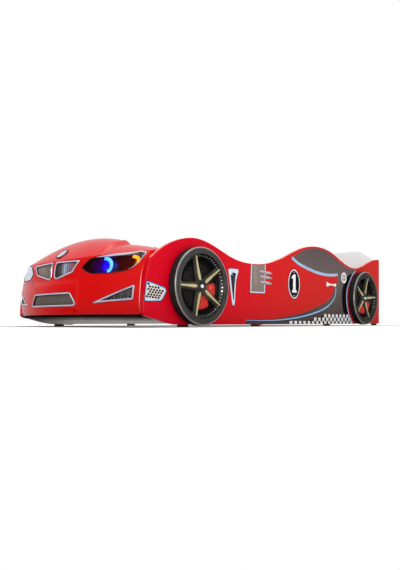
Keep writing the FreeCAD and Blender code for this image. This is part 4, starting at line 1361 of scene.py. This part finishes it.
def numberPlate():
    (y, z), (a, b) = sidePrint["plate"]["centre"], sidePrint["plate"]["half"]
    panelPrint("plate_outline", [ellipse((y, z), (a + 0.003, b + 0.003), 64)], "maroon", 0)
    panelPrint("plate_edge", [ellipse((y, z), (a, b), 64)], "pale", 1)
    panelPrint("plate_field", [ellipse((y, z), (a - 0.0065, b - 0.0065), 64)], "black", 2)
    one = np.array([(-0.02, -0.046), (0.024, -0.046), (0.024, -0.034), (0.0135, -0.032), (0.0135, 0.05),
                    (-0.004, 0.05), (-0.023, 0.036), (-0.023, 0.026), (-0.0095, 0.031), (-0.0095, -0.032),
                    (-0.02, -0.034)])
    panelPrint("number", [one + (y, z + 0.001)], "white", 3, flipAbout=y)
    panelPrint("plate_marks", [ellipse((y, z + 0.0615), (0.01, 0.0022), 20),
                               ellipse((y, z - 0.06), (0.01, 0.0022), 20)], "silver", 3)


def smallFittings():
    (y, z), r = sidePrint["fuelCap"]["centre"], sidePrint["fuelCap"]["radius"]
    panelPrint("cap_edge", [ellipse((y, z), (r + 0.0025, r + 0.0025))], "black", 2)
    panelPrint("cap_ring", [ellipse((y, z), (r, r)), ellipse((y, z), (r * 0.62, r * 0.62))], "white", 3)
    panelPrint("cap_field", [ellipse((y, z), (r * 0.62, r * 0.62))], "patch", 3)
    drop = softLoop([(y - 0.007, z - 0.01), (y + 0.009, z - 0.004), (y + 0.004, z + 0.011),
                     (y - 0.006, z + 0.008)], 0.006)
    panelPrint("cap_mark", [drop], "white", 4)
    grip = [(1.083, 0.249), (1.092, 0.254), (1.103, 0.248), (1.118, 0.244), (1.165, 0.243),
            (1.18, 0.2465), (1.193, 0.25), (1.194, 0.229), (1.18, 0.229), (1.165, 0.2335), (1.118, 0.234),
            (1.104, 0.229), (1.092, 0.224), (1.083, 0.23)]
    panelPrint("handle_shade", [softLoop(grip, 0.006, 0.002) + (0.001, -0.0015)], "maroon", 0)
    panelPrint("handle", [softLoop(grip, 0.006)], "white", 1)
    panelPrint("handle_core", [bandAround([(1.096, 0.2385), (1.14, 0.237), (1.186, 0.2385)], 0.0035, 16)],
               "cream", 2)


panelPrints()
checkers()
ventPlate()
gill()
patch()
numberPlate()
smallFittings()
print("side prints made")


# floor, light and camera
stageLook = {
    "reach": 120.0, "sky": 1.0, "fill": 0.56, "glow": (0.5, 1.3, 0.6),
    "footprint": (0.5, 1.04, 0.0), "fall": (-0.05, 0.05, 0.0),
    "shade": [(0.0, (178, 178, 179)), (0.04, (216, 216, 217)), (0.11, (246, 246, 247)),
              (0.3, (251, 251, 252))],
    "brightSide": (-0.7, 0.58, 0.42),
    "mirrored": [(0.0, (0.0, 0.0, 0.0, 1)), (0.55, (0.01, 0.01, 0.011, 1)), (0.72, (0.28, 0.28, 0.29, 1)),
                 (0.95, (0.8, 0.8, 0.81, 1))],
}


def softFloor():
    # soft shade close round the bed, plain white away from it
    material = grained("studio_floor", (246, 246, 247), (251, 251, 252), 0.7, rough=(0.8, 0.9), bump=0.01,
                       specular=0.0, Emission_Color=(1, 1, 1, 1))
    tree = material.node_tree
    shader = tree.nodes["Principled BSDF"]
    spread = objectPlace(tree)
    for operation, value in (("ADD", stageLook["fall"]), ("ABSOLUTE", (0, 0, 0)),
                             ("SUBTRACT", stageLook["footprint"]), ("MAXIMUM", (0, 0, 0))):
        spread = computed(tree, operation, spread, value, kind="VectorMath", output="Vector")
    away = computed(tree, "LENGTH", spread, kind="VectorMath")
    tree.links.new(ramp(tree, away, stageLook["shade"], smooth=True), shader.inputs["Base Color"])
    start, end, most = stageLook["glow"]
    fade = addNode(tree, "MapRange", {"interpolation_type": "SMOOTHSTEP"}, Value=away,
                   From_Min=start, From_Max=end, To_Min=0, To_Max=most)
    tree.links.new(fade.outputs["Result"], shader.inputs["Emission Strength"])
    cells, reach = 25, stageLook["reach"]
    steps = np.linspace(-reach, reach, cells)
    verts = [(x, y, 0.0) for x in steps for y in steps]
    floor = newPiece("floor", verts, gridFaces(cells, cells), material, stage=True)
    floor.visible_glossy = False


def studioWorld():
    # white to the eye, and to gloss bright behind the bed and dark in front of it
    world = bpy.data.worlds.new("studio")
    scene.world = world
    world.use_nodes = True
    tree = world.node_tree
    tree.nodes.clear()
    white = (1, 1, 1, 1)

    def background(colour, strength):
        return addNode(tree, "Background", Color=colour, Strength=strength).outputs[0]

    def either(ray, no, yes):
        mix = addNode(tree, "MixShader", Fac=path[ray])
        tree.links.new(no, mix.inputs[1])
        tree.links.new(yes, mix.inputs[2])
        return mix.outputs[0]

    path = addNode(tree, "LightPath").outputs
    place = addNode(tree, "TexCoord").outputs["Generated"]
    dot = computed(tree, "DOT_PRODUCT", place, stageLook["brightSide"], kind="VectorMath")
    gloss = ramp(tree, ranged(tree, dot, 0, 1, From_Min=-1, From_Max=1), stageLook["mirrored"])
    lit = either("Is Glossy Ray", background(white, stageLook["fill"]), background(gloss, 1))
    seen = either("Is Camera Ray", lit, background(white, stageLook["sky"]))
    tree.links.new(seen, addNode(tree, "OutputWorld").inputs["Surface"])


def areaLight(name, place, target, size, power, gloss=True, diffuse=True):
    light = bpy.data.lights.new(name, "AREA")
    light.shape = "RECTANGLE"
    light.size, light.size_y = size
    light.energy = power
    holder = bpy.data.objects.new(name, light)
    scene.collection.objects.link(holder)
    holder.location = place
    holder.rotation_euler = (Vector(target) - Vector(place)).to_track_quat("-Z", "Y").to_euler()
    holder.visible_glossy = gloss
    holder.visible_diffuse = diffuse
    holder.visible_camera = False


def studioCamera():
    camera = bpy.data.cameras.new("camera")
    camera.lens = 33.08
    camera.sensor_width = 36
    camera.shift_y = 0.0654
    camera.clip_end = 200
    holder = bpy.data.objects.new("camera", camera)
    scene.collection.objects.link(holder)
    holder.location = (2.01198, frontAxle - 1.6106, 0.02)
    holder.rotation_euler = (math.radians(90), 0, math.radians(43.21))
    scene.camera = holder


softFloor()
studioWorld()
areaLight("overhead", (0.2, -0.6, 3.4), (0, 0, 0.2), (3.2, 3.6), 70)
areaLight("sideFill", (4.2, -1.0, 1.6), (0.4, 0.1, 0.2), (2.6, 2.0), 40, gloss=False)
areaLight("frontFill", (0.6, -4.4, 1.5), (0, -0.8, 0.2), (2.6, 2.0), 20, gloss=False)
areaLight("edgeStrip", (3.5, -3.6, 0.8), (0.46, -1.0, 0.3), (0.6, 1.5), 240, diffuse=False)
studioCamera()
scene.view_settings.view_transform = "Standard"
print("stage set")
